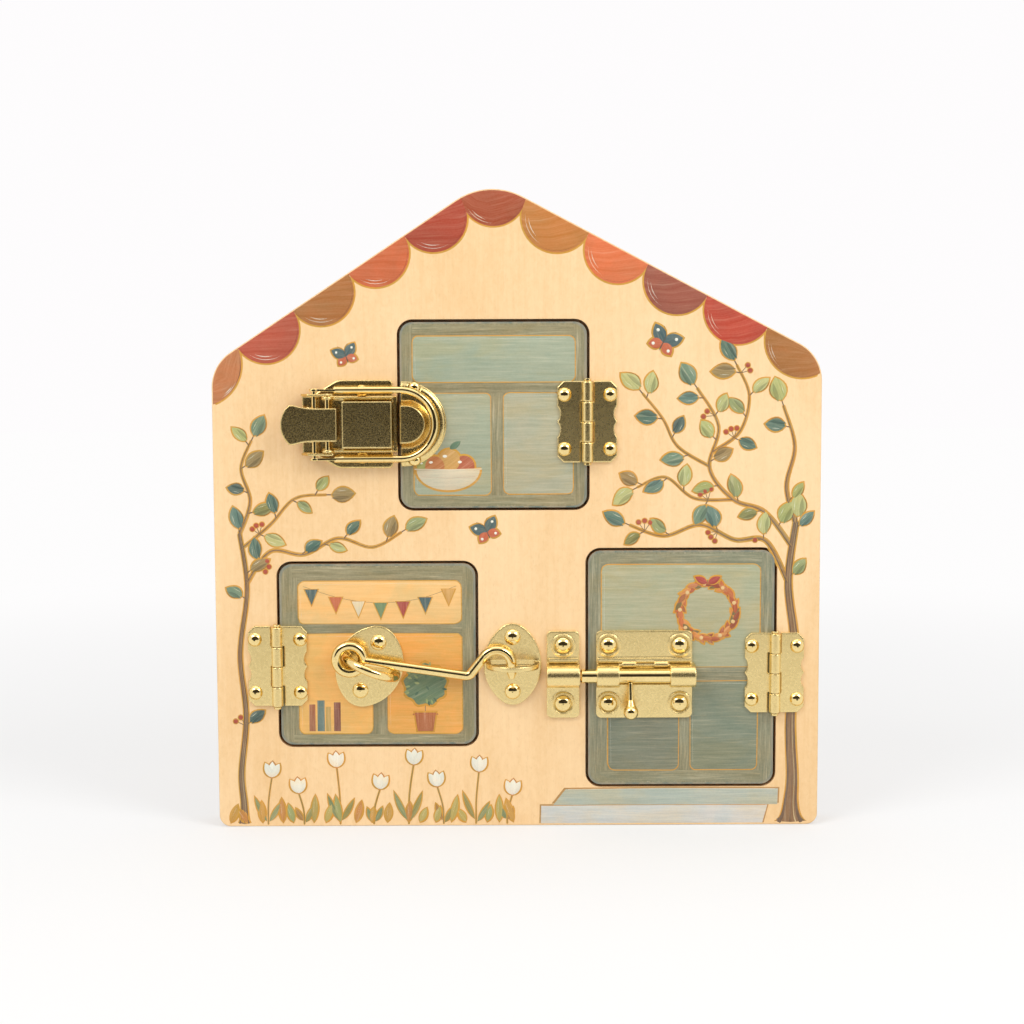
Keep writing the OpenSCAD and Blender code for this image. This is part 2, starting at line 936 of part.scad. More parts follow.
// The fold where a bolt plate turns out to its barrel.
module fold(x0, x1) {
    translate([x0, rod_d / 2 + clip_wall + 0.4, plate_t / 2])
        cube([x1 - x0, fold_w, fold_h]);
}

// A tunnel over the bolt from x0 to x1, with a bore that clears it by the given amount.
module tunnel(x0, x1, clear) {
    outer = rod_d / 2 + clip_wall;
    difference() {
        union() {
            translate([0, 0, rod_h])
                bar_x(x0, x1, outer);
            translate([x0, -outer, 0])
                cube([x1 - x0, 2 * outer, rod_h]);
        }
        translate([0, 0, rod_h])
            bar_x(x0 - over, x1 + over, rod_d / 2 + clear);
        translate([x0 - over, -outer - over, -2 * clip_wall - rod_d])
            cube([x1 - x0 + 2 * over, 2 * (outer + over), 2 * clip_wall + rod_d]);
    }
}

module bolt_keep() {
    mid = (keep_x[0] + keep_x[1]) / 2;
    bolt_place() {
        linear_extrude(plate_t)
            difference() {
                rounded_box_outline(keep_x[0], keep_x[1], -keep_half, keep_half, 2.0);
                for (s = [-1, 1])
                    translate([mid, s * keep_rivet_y])
                        circle(shank_d / 2 + loose);
            }
        tunnel(keep_x[0], keep_x[1], keep_clear);
        for (s = [-1, 1])
            bead(mid, s * keep_rivet_y);
        fold(keep_x[0] + 0.6, keep_x[1] - 0.6);
    }
}

module bolt_keep_rivets() {
    color(brass)
        face_frame()
            rivets(keep_at, bolt_head, plate_t, front_t);
}

module bolt_barrel_plate() {
    x = barrel_x;
    outer = rod_d / 2 + clip_wall;
    lug_l = 5.4;
    lug_r = 1.35;
    bolt_place() {
        linear_extrude(plate_t)
            difference() {
                rounded_box_outline(x[0], x[1], -barrel_half, barrel_half, 2.0);
                for (e = [0, 1], s = [-1, 1])
                    translate([x[e] + (1 - 2 * e) * barrel_rivet[0], s * barrel_rivet[1]])
                        circle(shank_d / 2 + loose);
            }
        tunnel(x[0], x[0] + clip_l, fit);
        tunnel(x[1] - clip_r_l, x[1] + 0.9, fit);
        for (e = [0, 1], s = [-1, 1])
            bead(x[e] + (1 - 2 * e) * barrel_rivet[0], s * barrel_rivet[1]);
        fold(x[0] + 0.6, x[1] - 0.6);
        // low rails beside the open part of the barrel, with rolled lugs on the upper one
        for (s = [-1, 1])
            translate([x[0] + clip_l - over, s * (outer - rail_t / 2) - rail_t / 2, plate_t / 2])
                cube([x[1] - x[0] - clip_l - clip_r_l + 2 * over, rail_t, rail_h + plate_t / 2]);
        for (n = [x[0] + clip_l + 1.4, x[1] - clip_r_l - lug_l - 0.6])
            translate([0, outer - rail_t / 2, rail_h])
                bar_x(n, n + lug_l, lug_r);
    }
}

module bolt_barrel_rivets() {
    color(brass)
        face_frame()
            rivets(barrel_at, bolt_head, plate_t, door_t);
}

module bolt_rod() {
    bevel = 0.6;
    bolt_place()
        translate([0, 0, rod_h]) {
            bar_x(rod_x[0] + bevel, rod_x[1], rod_d / 2);
            translate([rod_x[0], 0, 0])
                rotate([0, 90, 0])
                    cylinder(h = bevel, r1 = rod_d / 2 - bevel, r2 = rod_d / 2);
        }
}

// Turns the children so that their z axis runs from the bolt's axis out along the stem.
module stem_place() {
    bolt_place()
        translate([stem_x, 0, rod_h])
            rotate([90 - stem_tilt, 0, 0])
                children();
}

module bolt_stem() {
    stem_place()
        translate([0, 0, rod_d / 2 + stem_root])
            cylinder(h = knob_reach - rod_d / 2 - stem_root - knob_d * 0.45, d = stem_d);
}

// A round knob with a short collar, bored for the end of the stem.
module bolt_knob() {
    collar_l = 3.2;
    stem_place()
        difference() {
            union() {
                translate([0, 0, knob_reach])
                    sphere(knob_d / 2);
                translate([0, 0, knob_reach - knob_d / 4 - collar_l])
                    cylinder(h = collar_l, r1 = stem_d / 2 + 0.35, r2 = knob_d / 2 - 0.6);
            }
            cylinder(h = knob_reach - knob_d * 0.45, r = stem_d / 2 + 0.01);
        }
}

front_panel();
back_panel();
top_door();
left_door();
right_door();
top_hinge_frame_leaf();
top_hinge_door_leaf();
top_hinge_pin();
left_hinge_frame_leaf();
left_hinge_door_leaf();
left_hinge_pin();
right_hinge_frame_leaf();
right_hinge_door_leaf();
right_hinge_pin();
frame_hinge_rivets();
top_door_hinge_rivets();
left_door_hinge_rivets();
right_door_hinge_rivets();
latch_base();
latch_base_rivets();
latch_pivot_pin();
latch_lever();
latch_bail_pin();
latch_bail();
latch_keeper();
latch_keeper_rivets();
hook_eye_plate();
hook_eye_plate_rivets();
hook_staple();
cabin_hook();
hook_catch();
hook_catch_rivets();
bolt_keep();
bolt_keep_rivets();
bolt_barrel_plate();
bolt_barrel_rivets();
bolt_rod();
bolt_stem();
bolt_knob();
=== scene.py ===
"""A wooden activity house with brass latches, dressed for display.

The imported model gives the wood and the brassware. This script finishes their
surfaces, adds the raised paint on the front, and sets up a small studio.
Lengths in the classes below are millimetres in the plane of the painted front:
x to the right, z up. The drawing code turns them into metres.
"""

import logging
import math
import random
from dataclasses import dataclass, field
from enum import Enum
from typing import Callable, Iterable, Sequence, Union

import bmesh
import bpy
from mathutils import Matrix, Vector


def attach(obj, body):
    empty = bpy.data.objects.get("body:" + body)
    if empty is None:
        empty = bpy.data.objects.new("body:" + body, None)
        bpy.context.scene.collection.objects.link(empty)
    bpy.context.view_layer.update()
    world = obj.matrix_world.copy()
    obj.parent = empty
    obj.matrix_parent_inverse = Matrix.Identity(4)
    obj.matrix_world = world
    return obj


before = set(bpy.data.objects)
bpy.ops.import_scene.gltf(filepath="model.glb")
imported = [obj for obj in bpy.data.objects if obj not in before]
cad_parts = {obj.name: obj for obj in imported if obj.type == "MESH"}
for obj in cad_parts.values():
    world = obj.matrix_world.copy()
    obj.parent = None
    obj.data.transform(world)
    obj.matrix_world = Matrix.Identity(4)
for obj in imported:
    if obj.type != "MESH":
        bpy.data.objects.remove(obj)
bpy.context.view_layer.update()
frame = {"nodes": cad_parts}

LOG = logging.getLogger("activity_house")
MM = 0.001
FACE_Y = -9.0

Point = tuple[float, float]
Box = tuple[float, float, float, float]
Colour = tuple[float, float, float]
Triple = tuple[float, float, float]
Pane = tuple[float, float, float, float, str]
Tint = Union[Colour, str]
Width = Union[float, Callable[[float], float]]


def paint_colour(code: str) -> Colour:
    """Turn a six-digit colour code into linear light.

    Args:
        code: The colour as it looks, such as "C8643C".

    Returns:
        Red, green and blue from 0 to 1 in linear light.
    """
    parts = [int(code[i:i + 2], 16) / 255 for i in (0, 2, 4)]
    return tuple(c / 12.92 if c < 0.04045 else ((c + 0.055) / 1.055) ** 2.4 for c in parts)


def shade(tint: Tint, factor: float = 1.0) -> Colour:
    """Darken or lighten a colour, given as such or by its code, by one factor."""
    colour = paint_colour(tint) if isinstance(tint, str) else tint
    return tuple(min(1.0, c * factor) for c in colour)


OCHRE = paint_colour("D69A30")
UMBER = paint_colour("6B5140")
INK = paint_colour("57524A")
CREAM = paint_colour("FBF3E2")


# ---- shader maths


def operator(operation: str, swapped: bool = False) -> Callable[["Sock", "Value"], "Sock"]:
    """Make one of a socket's operators.

    Args:
        operation: What its Math node does.
        swapped: Whether the socket is the second value.

    Returns:
        The method, which adds the node.
    """
    def method(self: "Sock", other: "Value") -> "Sock":
        """Add the Math node."""
        pair = [other, self] if swapped else [self, other]
        return self.graph.node("ShaderNodeMath", {"operation": operation}, pair)
    return method


class Sock:
    """A shader socket that Python's operators work on."""

    __add__ = __radd__ = operator("ADD")
    __mul__ = __rmul__ = operator("MULTIPLY")
    __sub__ = operator("SUBTRACT")
    __rsub__ = operator("SUBTRACT", swapped=True)
    __truediv__ = operator("DIVIDE")
    __rtruediv__ = operator("DIVIDE", swapped=True)
    __lt__ = operator("LESS_THAN")
    __gt__ = operator("GREATER_THAN")

    def __init__(self, graph: "Graph", socket: bpy.types.NodeSocket) -> None:
        """Keep the socket and the graph that it belongs to."""
        self.graph = graph
        self.socket = socket

    def calc(self, operation: str, *others: "Value") -> "Sock":
        """Add a Math node that starts from this socket."""
        return self.graph.node("ShaderNodeMath", {"operation": operation}, [self, *others])

    def ramp(self, low: float, high: float) -> "Sock":
        """Rise smoothly from 0 at low to 1 at high."""
        return self.graph.node("ShaderNodeMapRange", {"interpolation_type": "SMOOTHSTEP"},
                               {"Value": self, "From Min": low, "From Max": high})


Value = Union[Sock, float]


class Graph:
    """Builds the node tree of one material or world."""

    def __init__(self, tree: bpy.types.NodeTree) -> None:
        """Start from an empty tree."""
        self.tree = tree
        tree.nodes.clear()

    def node(self, kind: str, settings: dict | None = None,
             inputs: dict | Sequence | None = None, output: int | str = 0) -> Sock:
        """Add a node, set it up and wire it.

        Args:
            kind: The node's type name.
            settings: Attributes that are set before the sockets are filled.
            inputs: Values or sockets, by name or in order.
            output: Which output to hand back.

        Returns:
            The chosen output as a socket.
        """
        made = self.tree.nodes.new(kind)
        for key, value in (settings or {}).items():
            setattr(made, key, value)
        pairs = inputs.items() if isinstance(inputs, dict) else enumerate(inputs or ())
        for key, value in pairs:
            socket = made.inputs[key]
            if isinstance(value, Sock):
                self.tree.links.new(value.socket, socket)
            elif socket.type == "RGBA":
                colour = paint_colour(value) if isinstance(value, str) else value
                socket.default_value = (*colour, 1.0)
            else:
                socket.default_value = value
        return Sock(self, made.outputs[output])

    def end(self, shader: Sock, kind: str = "ShaderNodeOutputMaterial") -> None:
        """Close the tree with its output."""
        self.tree.links.new(shader.socket, self.tree.nodes.new(kind).inputs[0])

    def place(self) -> Sock:
        """Give the object's own coordinates, in metres."""
        return self.node("ShaderNodeTexCoord", output="Object")

    def axes(self, vector: Sock) -> tuple[Sock, ...]:
        """Split a vector into its three numbers."""
        split = self.node("ShaderNodeSeparateXYZ", None, [vector]).socket.node
        return tuple(Sock(self, out) for out in split.outputs)

    def rays(self) -> tuple[Sock, Sock]:
        """Tell which rays ask for the shown background.

        Returns:
            1 for what the camera sees, and 1 for what a gloss or clear piece sees.
        """
        path = self.node("ShaderNodeLightPath").socket.node
        camera, glossy, clear = (Sock(self, path.outputs[f"Is {way} Ray"])
                                 for way in ("Camera", "Glossy", "Transmission"))
        return camera, (glossy + clear).calc("MINIMUM", 1.0)

    def noise(self, vector: Sock, scale: float | Sequence[float] = 1.0, detail: float = 3.0,
              rough: float = 0.5, twist: float = 0.0,
              turn: Sequence[float] = (0.0, 0.0, 0.0)) -> Sock:
        """Give smooth noise from 0 to 1.

        Args:
            vector: The coordinates.
            scale: How fine it is, for all axes or for each.
            detail: How many finer layers it has.
            rough: How strong those are.
            twist: How much it is swirled.
            turn: A turn of the coordinates, where each axis has its own scale.

        Returns:
            The noise.
        """
        if not isinstance(scale, (int, float)):
            vector = self.node("ShaderNodeMapping", None,
                               {"Vector": vector, "Scale": scale, "Rotation": turn})
            scale = 1.0
        return self.node("ShaderNodeTexNoise", None, {
            "Vector": vector, "Scale": scale, "Detail": detail, "Roughness": rough,
            "Distortion": twist})

    def mix(self, factor: Value, a: Sock | Tint, b: Sock | Tint, blend: str = "MIX") -> Sock:
        """Mix two colours."""
        return self.node("ShaderNodeMix", {"data_type": "RGBA", "blend_type": blend},
                         {0: factor, 6: a, 7: b}, 2)

    def bump(self, height: Sock, strength: float, distance: float, **normal: Sock) -> Sock:
        """Turn a height into a normal, on top of another one if that is given."""
        return self.node("ShaderNodeBump", None, {
            "Height": height, "Strength": strength, "Distance": distance, **normal})

    def rounded(self, radius: float) -> Sock:
        """Give a normal that rounds the sharp edges of a piece."""
        return self.node("ShaderNodeBevel", {"samples": 8}, {"Radius": radius})

    def surface(self, **inputs: Value | Tint) -> None:
        """Finish the tree with a Principled surface.

        Args:
            **inputs: Socket names, with underscores for spaces.
        """
        filled = {key.replace("_", " "): value for key, value in inputs.items()}
        self.end(self.node("ShaderNodeBsdfPrincipled", None, filled))


# ---- finishes


@dataclass(frozen=True)
class Finish:
    """A material that draws itself on a graph."""

    name: str

    def build(self) -> bpy.types.Material:
        """Make the material.

        Returns:
            The material, ready for a slot.
        """
        made = bpy.data.materials.new(self.name)
        made.use_nodes = True
        self.draw(Graph(made.node_tree))
        return made

    def draw(self, g: Graph) -> None:
        """Draw the surface, in each kind of finish."""


@dataclass(frozen=True)
class SheetWood(Finish):
    """Pale plywood with a veneered face and plies that show on its edges."""

    light: str
    dark: str
    front: float
    back: float
    skin: str = ""
    skin_dark: str = ""
    plies: float = 5.0
    veneer: float = 0.12
    skin_depth: float = 0.75

    def draw(self, g: Graph) -> None:
        """Draw grain on the faces, plies on the edges and paint on the skin.

        Args:
            g: The material's graph.
        """
        place = g.place()
        _, depth, _ = g.axes(place)
        grain = g.noise(place, (520, 520, 26), 4.0, 0.62, 0.25)
        fine = g.noise(place, (2600, 2600, 90), 2.0)
        cloud = g.noise(place, (26, 26, 9), 3.0, 0.5, 0.6)
        fleck = g.noise(place, (1500, 1500, 620), 2.0)
        mottle = g.noise(place, (420, 420, 300), 3.0, 0.65, 0.5)
        tone = grain * 0.24 + fine * 0.10 + cloud * 0.56 + mottle * 0.30
        face = g.mix(tone.ramp(0.38, 0.86), self.light, self.dark)
        face = g.mix(fleck.ramp(0.54, 0.78) * 0.20, face, shade(self.dark, 0.80))
        level = (depth - self.front * MM) / ((self.back - self.front) * MM) * self.plies
        odd = (level * 0.5).calc("FRACT") > 0.5
        plies = g.mix(odd, shade(self.light, 0.93), shade(self.dark, 0.74))
        end_grain = g.noise(place, (900, 2400, 900), 3.0, 0.6)
        plies = g.mix(end_grain * 0.45, plies, shade(self.dark, 0.62))
        inside = ((depth > (self.front + self.veneer) * MM)
                  * (depth < (self.back - self.veneer) * MM))
        colour = g.mix(inside, face, plies)
        if self.skin:
            wipe = g.noise(place, (300, 300, 60), 4.0, 0.6, 0.4)
            coat = g.mix(wipe.ramp(0.3, 0.75), self.skin, self.skin_dark)
            worn = g.noise(place, (150, 150, 150), 3.0, 0.6) * 0.0006
            colour = g.mix(depth + worn < (self.front + self.skin_depth) * MM, colour, coat)
        g.surface(Base_Color=colour, Roughness=0.50 + grain * 0.10,
                  Normal=g.bump(grain * 0.5 + fine * 0.5, 0.22, 0.00012,
                                Normal=g.rounded(0.00055)))


@dataclass(frozen=True)
class RaisedPaint(Finish):
    """Brushed paint whose colour comes from each stroke's own tint."""

    undercoat: str = "C79A5C"
    scumble: str = "EBDDBF"
    shadow: str = "4F4A38"
    cool: Colour = (0.80, 0.93, 0.98)
    warm: Colour = (1.06, 0.94, 0.74)

    def draw(self, g: Graph) -> None:
        """Draw streaks along the brush direction, broken by the undercoat.

        Args:
            g: The material's graph.
        """
        tint, dry = (g.node("ShaderNodeAttribute", {"attribute_name": "tint"}, output=part)
                     for part in ("Color", "Alpha"))
        place = g.place()
        sway = g.noise(place, 60.0, 2.0)
        brush = g.node("ShaderNodeVectorMath", {"operation": "ADD"}, [
            g.node("ShaderNodeUVMap", {"uv_map": "brush"}),
            g.node("ShaderNodeCombineXYZ", None, [sway * 3.0, (sway - 0.5) * 1.1, 0.0])])
        coarse = g.noise(brush, (0.034, 0.75, 1.0), 4.0, 0.60, 0.2)
        fine = g.noise(brush, (0.11, 2.4, 1.0), 3.0, 0.62)
        weave = g.noise(place, 1500.0, 2.0)
        cloud = g.noise(place, 52.0, 4.0, 0.60, 0.5)
        drift = g.noise(place, (34, 34, 70), 4.0, 0.62, 0.6, turn=(0.3, 0.5, 0.2))
        strength = coarse * 0.45 + fine * 0.40 + weave * 0.15
        wash = g.mix(cloud.ramp(0.36, 0.64) * 0.62, tint, g.mix(1.0, tint, self.cool, "MULTIPLY"))
        wash = g.mix(drift.ramp(0.44, 0.68) * 0.68, wash, g.mix(1.0, tint, self.warm, "MULTIPLY"))
        low = g.mix(dry * 0.26 + 0.05, wash, self.shadow)
        high = g.mix(dry * 0.20 + 0.03, wash, self.scumble)
        colour = g.mix(strength.ramp(0.36, 0.62), low, high)
        colour = g.mix(fine.ramp(0.55, 0.70) * dry * 0.30, colour, self.undercoat)
        worn = (coarse * 0.6 + fine * 0.4).ramp(0.54, 0.68) * dry * 0.38
        g.surface(Base_Color=g.mix(worn, colour, self.scumble), Roughness=0.44 + strength * 0.18,
                  Normal=g.bump(strength, 0.26, 0.00010))


class Polish(Enum):
    """How brightly a brass piece is finished."""

    SATIN = 0.26
    BRIGHT = 0.19
    MIRROR = 0.075


@dataclass(frozen=True)
class Brass(Finish):
    """Pale plated brass with fine rolling marks and a little wear."""

    polish: Polish
    edge: float = 0.00030
    grain: float = 0.15
    wear: float = 0.20
    colour: str = "F9E09E"
    deep: str = "D0AE60"

    def draw(self, g: Graph) -> None:
        """Draw tarnish, speckle and rounded edges.

        Args:
            g: The material's graph.
        """
        place = g.place()
        speckle = g.noise(place, 2100.0, 3.0, 0.70)
        cloud = g.noise(place, 150.0)
        rolled = g.noise(place, (240, 240, 3600), 2.0)
        blotch = g.noise(place, 1150.0, 4.0, 0.7)
        worn = cloud.ramp(0.35, 0.75) * self.wear * 0.6 + blotch.ramp(0.34, 0.70) * self.wear
        colour = g.mix(worn + speckle.ramp(0.45, 0.75) * 0.20, self.colour, self.deep)
        spots = speckle.ramp(0.38, 0.64) * 0.10 * self.grain
        g.surface(Base_Color=colour, Metallic=1.0,
                  Roughness=self.polish.value + spots + blotch.ramp(0.4, 0.7) * 0.05,
                  Normal=g.bump(speckle * 0.6 + rolled * 0.4, 0.35 * self.grain, 0.00006,
                                Normal=g.rounded(self.edge)))


# ---- outlines


def polar(at: Point, degrees: float, reach: float) -> Point:
    """Step from a point, in a direction given in degrees."""
    a = math.radians(degrees)
    return at[0] + math.cos(a) * reach, at[1] + math.sin(a) * reach


def arc_points(centre: Point, radii: Point, start: float, end: float, count: int) -> list[Point]:
    """Give points along part of an ellipse, with angles in degrees."""
    span = [math.radians(start + (end - start) * i / (count - 1)) for i in range(count)]
    return [(centre[0] + radii[0] * math.cos(a), centre[1] + radii[1] * math.sin(a)) for a in span]


def arc_through(a: Point, b: Point, c: Point, count: int) -> list[Point]:
    """Give points along the circle from a through b to c.

    Args:
        a: Where the arc starts.
        b: A point on the way, anticlockwise from a.
        c: Where the arc ends.
        count: How many points it has.

    Returns:
        The points, with a first and c last.
    """
    (bx, bz), (cx, cz) = (b[0] - a[0], b[1] - a[1]), (c[0] - a[0], c[1] - a[1])
    twice = 2 * (bx * cz - bz * cx)
    near, far = bx * bx + bz * bz, cx * cx + cz * cz
    ux, uz = (cz * near - bz * far) / twice, (bx * far - cx * near) / twice
    start = math.degrees(math.atan2(-uz, -ux))
    end = math.degrees(math.atan2(cz - uz, cx - ux))
    reach = math.hypot(ux, uz)
    return arc_points((a[0] + ux, a[1] + uz), (reach, reach), start,
                      start + (end - start) % 360, count)


def curve_through(points: Sequence[Point], steps: int) -> list[Point]:
    """Run a smooth curve through some points.

    Args:
        points: The points that the curve passes.
        steps: How many pieces each span is cut into.

    Returns:
        The points of the finer line.
    """
    def between(a: float, b: float, c: float, d: float, t: float) -> float:
        """Give the curve's value between b and c."""
        return 0.5 * (2 * b + (c - a) * t + (2 * a - 5 * b + 4 * c - d) * t * t
                      + (3 * b - a - 3 * c + d) * t ** 3)

    ends = [points[0], *points, points[-1]]
    fine = [tuple(between(*numbers, i / steps) for numbers in zip(*four))
            for four in zip(ends, ends[1:], ends[2:], ends[3:]) for i in range(steps)]
    return [*fine, points[-1]]


def within(p: Point, box: Box) -> bool:
    """Tell whether a point is in a box, given as left, right, foot and top."""
    return box[0] < p[0] < box[1] and box[2] < p[1] < box[3]


def board_outline(x0: float, x1: float, z0: float, z1: float) -> list[Point]:
    """Give the outline of a square-cornered board."""
    return [(x0, z0), (x1, z0), (x1, z1), (x0, z1)]


def rounded_pane(x0: float, x1: float, z0: float, z1: float, r: float) -> list[Point]:
    """Give the outline of a pane with rounded corners.

    Args:
        x0: Its left side.
        x1: Its right side.
        z0: Its foot.
        z1: Its top.
        r: The radius of its corners.

    Returns:
        The outline, anticlockwise from the lower right corner.
    """
    corners = (((x1 - r, z0 + r), -90), ((x1 - r, z1 - r), 0),
               ((x0 + r, z1 - r), 90), ((x0 + r, z0 + r), 180))
    return [p for c, a in corners for p in arc_points(c, (r, r), a, a + 90, 5)]


def leaf_outline(root: Point, angle: float, length: float, width: float,
                 bend: float = 0.0) -> list[Point]:
    """Give the outline of a pointed leaf.

    Args:
        root: Where the leaf leaves its stem.
        angle: The way it points, in degrees.
        length: From root to tip.
        width: Across the middle.
        bend: How far the tip curls sideways, as a share of the length.

    Returns:
        The outline, from the root round to the root.
    """
    steps = 7
    (dx, dz), outline = polar((0, 0), angle, 1), []
    for side in (1, -1):
        for i in range(steps):
            t = i / steps if side == 1 else 1 - i / steps
            half = side * width / 2 * math.sin(math.pi * t ** 0.9) ** 0.8 if 0 < t < 1 else 0.0
            aside = half + bend * length * t * t
            outline.append((root[0] + dx * length * t - dz * aside,
                            root[1] + dz * length * t + dx * aside))
    return outline


def leaf_rib(root: Point, angle: float, length: float, bend: float = 0.0) -> list[Point]:
    """Give the line from a leaf's root to near its tip."""
    return leaf_outline(root, angle, length, 0.01, bend)[:7]


def grown(outline: Sequence[Point], middle: Point, side: float, up: float,
          down: float) -> list[Point]:
    """Spread an outline a little, for the ochre edge that shows round a patch.

    Args:
        outline: The patch's own outline.
        middle: A point between its sides, its top and its foot.
        side: How far the sides move. What is within 1 mm of the middle keeps its x.
        up: How far the top moves.
        down: How far the foot moves.

    Returns:
        The larger outline.
    """
    mx, mz = middle
    return [(x + (math.copysign(side, x - mx) if abs(x - mx) > 1 else 0),
             z + (up if z > mz else -down)) for x, z in outline]


def swell(wide: float, least: float = 0.02) -> Callable[[float], float]:
    """Give a width that swells in the middle of a stroke."""
    return lambda t: wide * math.sin(math.pi * t) + least


def thin_out(wide: float, least: float) -> Callable[[float], float]:
    """Give a width that falls steadily along a stroke."""
    return lambda t: wide * (1 - t) + least


# ---- raised paint


@dataclass(kw_only=True)
class PaintedPiece:
    """Raised paint on one body, gathered into one mesh."""

    material: bpy.types.Material
    name: str
    body: str = "board"
    slot: str = "front_wood"
    seed: int = 0
    sunk: float = 0.03
    layers: int = 13
    layer_step: float = 0.002
    seam_runs: int = 17
    seam_step: float = 0.001
    crease: float = 50.0
    wall_share: float = 0.55
    thinnest: float = 0.03
    cap: float = 0.4
    cap_width: float = 1.5
    cap_depth: float = 0.02
    weld: float = 3e-4
    fan_scale: float = 11.0
    bm: bmesh.types.BMesh = field(default_factory=bmesh.new)
    seams: list[bmesh.types.BMVert] = field(default_factory=list)
    tops: list[bmesh.types.BMFace] = field(default_factory=list)

    def __post_init__(self) -> None:
        """Seed the dice and add the layers that the paint's material reads."""
        self.dice = random.Random(self.seed)
        self.tint = self.bm.loops.layers.float_color.new("tint")
        self.brush = self.bm.loops.layers.uv.new("brush")

    def paint(self) -> None:
        """Lay the paint, in each kind of piece."""

    def _dress(self, verts: Iterable[bmesh.types.BMVert], tint: Tint, dry: float,
               turn: float, fan: Point | None = None) -> None:
        """Colour the faces round some vertices and lay their brush direction.

        Args:
            verts: The vertices.
            tint: The paint's colour.
            dry: How much of the undercoat shows.
            turn: The brush's direction in degrees.
            fan: The point that the strokes curve round, if they do.
        """
        colour = (*shade(tint), dry)
        c, s = math.cos(math.radians(turn)), math.sin(math.radians(turn))
        for face in {f for v in verts for f in v.link_faces}:
            face.smooth = True
            for loop in face.loops:
                loop[self.tint] = colour
                x, z = loop.vert.co.x, loop.vert.co.z
                if fan is None:
                    loop[self.brush].uv = (x * c + z * s, z * c - x * s)
                else:
                    swing = math.atan2(x - fan[0], fan[1] - z + 1e-4)
                    loop[self.brush].uv = (swing * self.fan_scale, math.dist((x, z), fan))

    def patch(self, outline: Sequence[Point], tint: Tint, lift: float, turn: float = 0.0,
              dry: float = 0.3, rim: float = 0.12, fan: Point | None = None) -> None:
        """Lay a flat patch of paint with a soft rim.

        Args:
            outline: The patch's edge, either way round.
            tint: Its colour.
            lift: How far it stands off the wood.
            turn: The brush's direction in degrees.
            dry: How much of the undercoat shows.
            rim: The width of the sloping rim.
            fan: The point that the strokes curve round, if they do.
        """
        lift += self.layer_step * (len(self.tops) % self.layers)
        made = sorted(bmesh.ops.create_circle(self.bm, cap_ends=True, radius=1.0,
                                              segments=len(outline))["verts"],
                      key=lambda v: math.atan2(v.co.y, v.co.x))
        for vert, (x, z) in zip(made, outline):
            vert.co = (x, self.sunk, z)
        base = made[0].link_faces[0]
        base.normal_update()
        raised = bmesh.ops.extrude_face_region(self.bm, geom=[base])["geom"]
        shoulder = [g for g in raised if isinstance(g, bmesh.types.BMVert)]
        top = [g for g in raised if isinstance(g, bmesh.types.BMFace)]
        bmesh.ops.translate(self.bm, vec=(0, -self.sunk - lift * self.wall_share, 0),
                            verts=shoulder)
        if rim > 0:
            top[0].normal_update()
            bmesh.ops.inset_region(self.bm, faces=top, thickness=rim, depth=0.0,
                                   use_even_offset=False, use_boundary=True)
            bmesh.ops.translate(self.bm, vec=(0, -lift * (1 - self.wall_share), 0),
                                verts=list({v for f in top for v in f.verts}))
        self.tops.extend(top)
        self._dress([*made, *shoulder, *(v for f in top for v in f.verts)], tint, dry, turn, fan)

    def leaf(self, root: Point, way: float, length: float, width: float, tint: Tint,
             lift: float, dry: float = 0.1, rim: float = 0.12, bend: float = 0.0) -> None:
        """Lay a leaf of paint, brushed from its root to its tip."""
        self.patch(leaf_outline(root, way, length, width, bend), tint, lift, way, dry, rim)

    def dot(self, centre: Point, radii: float | Point, tint: Tint, lift: float, dry: float,
            rim: float, count: int, end: float = 330.0, turn: float = 0.0) -> None:
        """Lay a round or oval dot of paint."""
        both = radii if isinstance(radii, tuple) else (radii, radii)
        self.patch(arc_points(centre, both, 0, end, count), tint, lift, turn, dry, rim)

    def stroke(self, line: Sequence[Point], width: Width, tint: Tint, lift: float,
               dry: float = 0.15, loop: bool = False) -> None:
        """Draw a rounded line of paint.

        Args:
            line: The points that it follows.
            width: Its width, or a function of the way along from 0 to 1.
            tint: Its colour.
            lift: How far its crown stands off the wood.
            dry: How much of the undercoat shows.
            loop: Whether the line closes on itself.
        """
        rings = self._rings(line, width, loop)
        count = len(rings)
        made = sorted(bmesh.ops.create_grid(self.bm, x_segments=count - 1, y_segments=4,
                                            size=1.0)["verts"],
                      key=lambda v: (round(v.co.y, 4), v.co.x))
        sunk = self.sunk + self.seam_step * (len(self.seams) % self.seam_runs)
        section = ((1, sunk), (0, -lift), (-1, sunk), (0, sunk), (1, sunk))
        for i, (x, z, dx, dz, wide) in enumerate(rings):
            for j, (side, depth) in enumerate(section):
                made[j * count + i].co = (x - dz * side * wide / 2,
                                          depth if wide else self.cap_depth,
                                          z + dx * side * wide / 2)
        self.seams.extend(made)
        middle = rings[(count - 1) // 2]
        self._dress(made, tint, dry, math.degrees(math.atan2(middle[3], middle[2])))

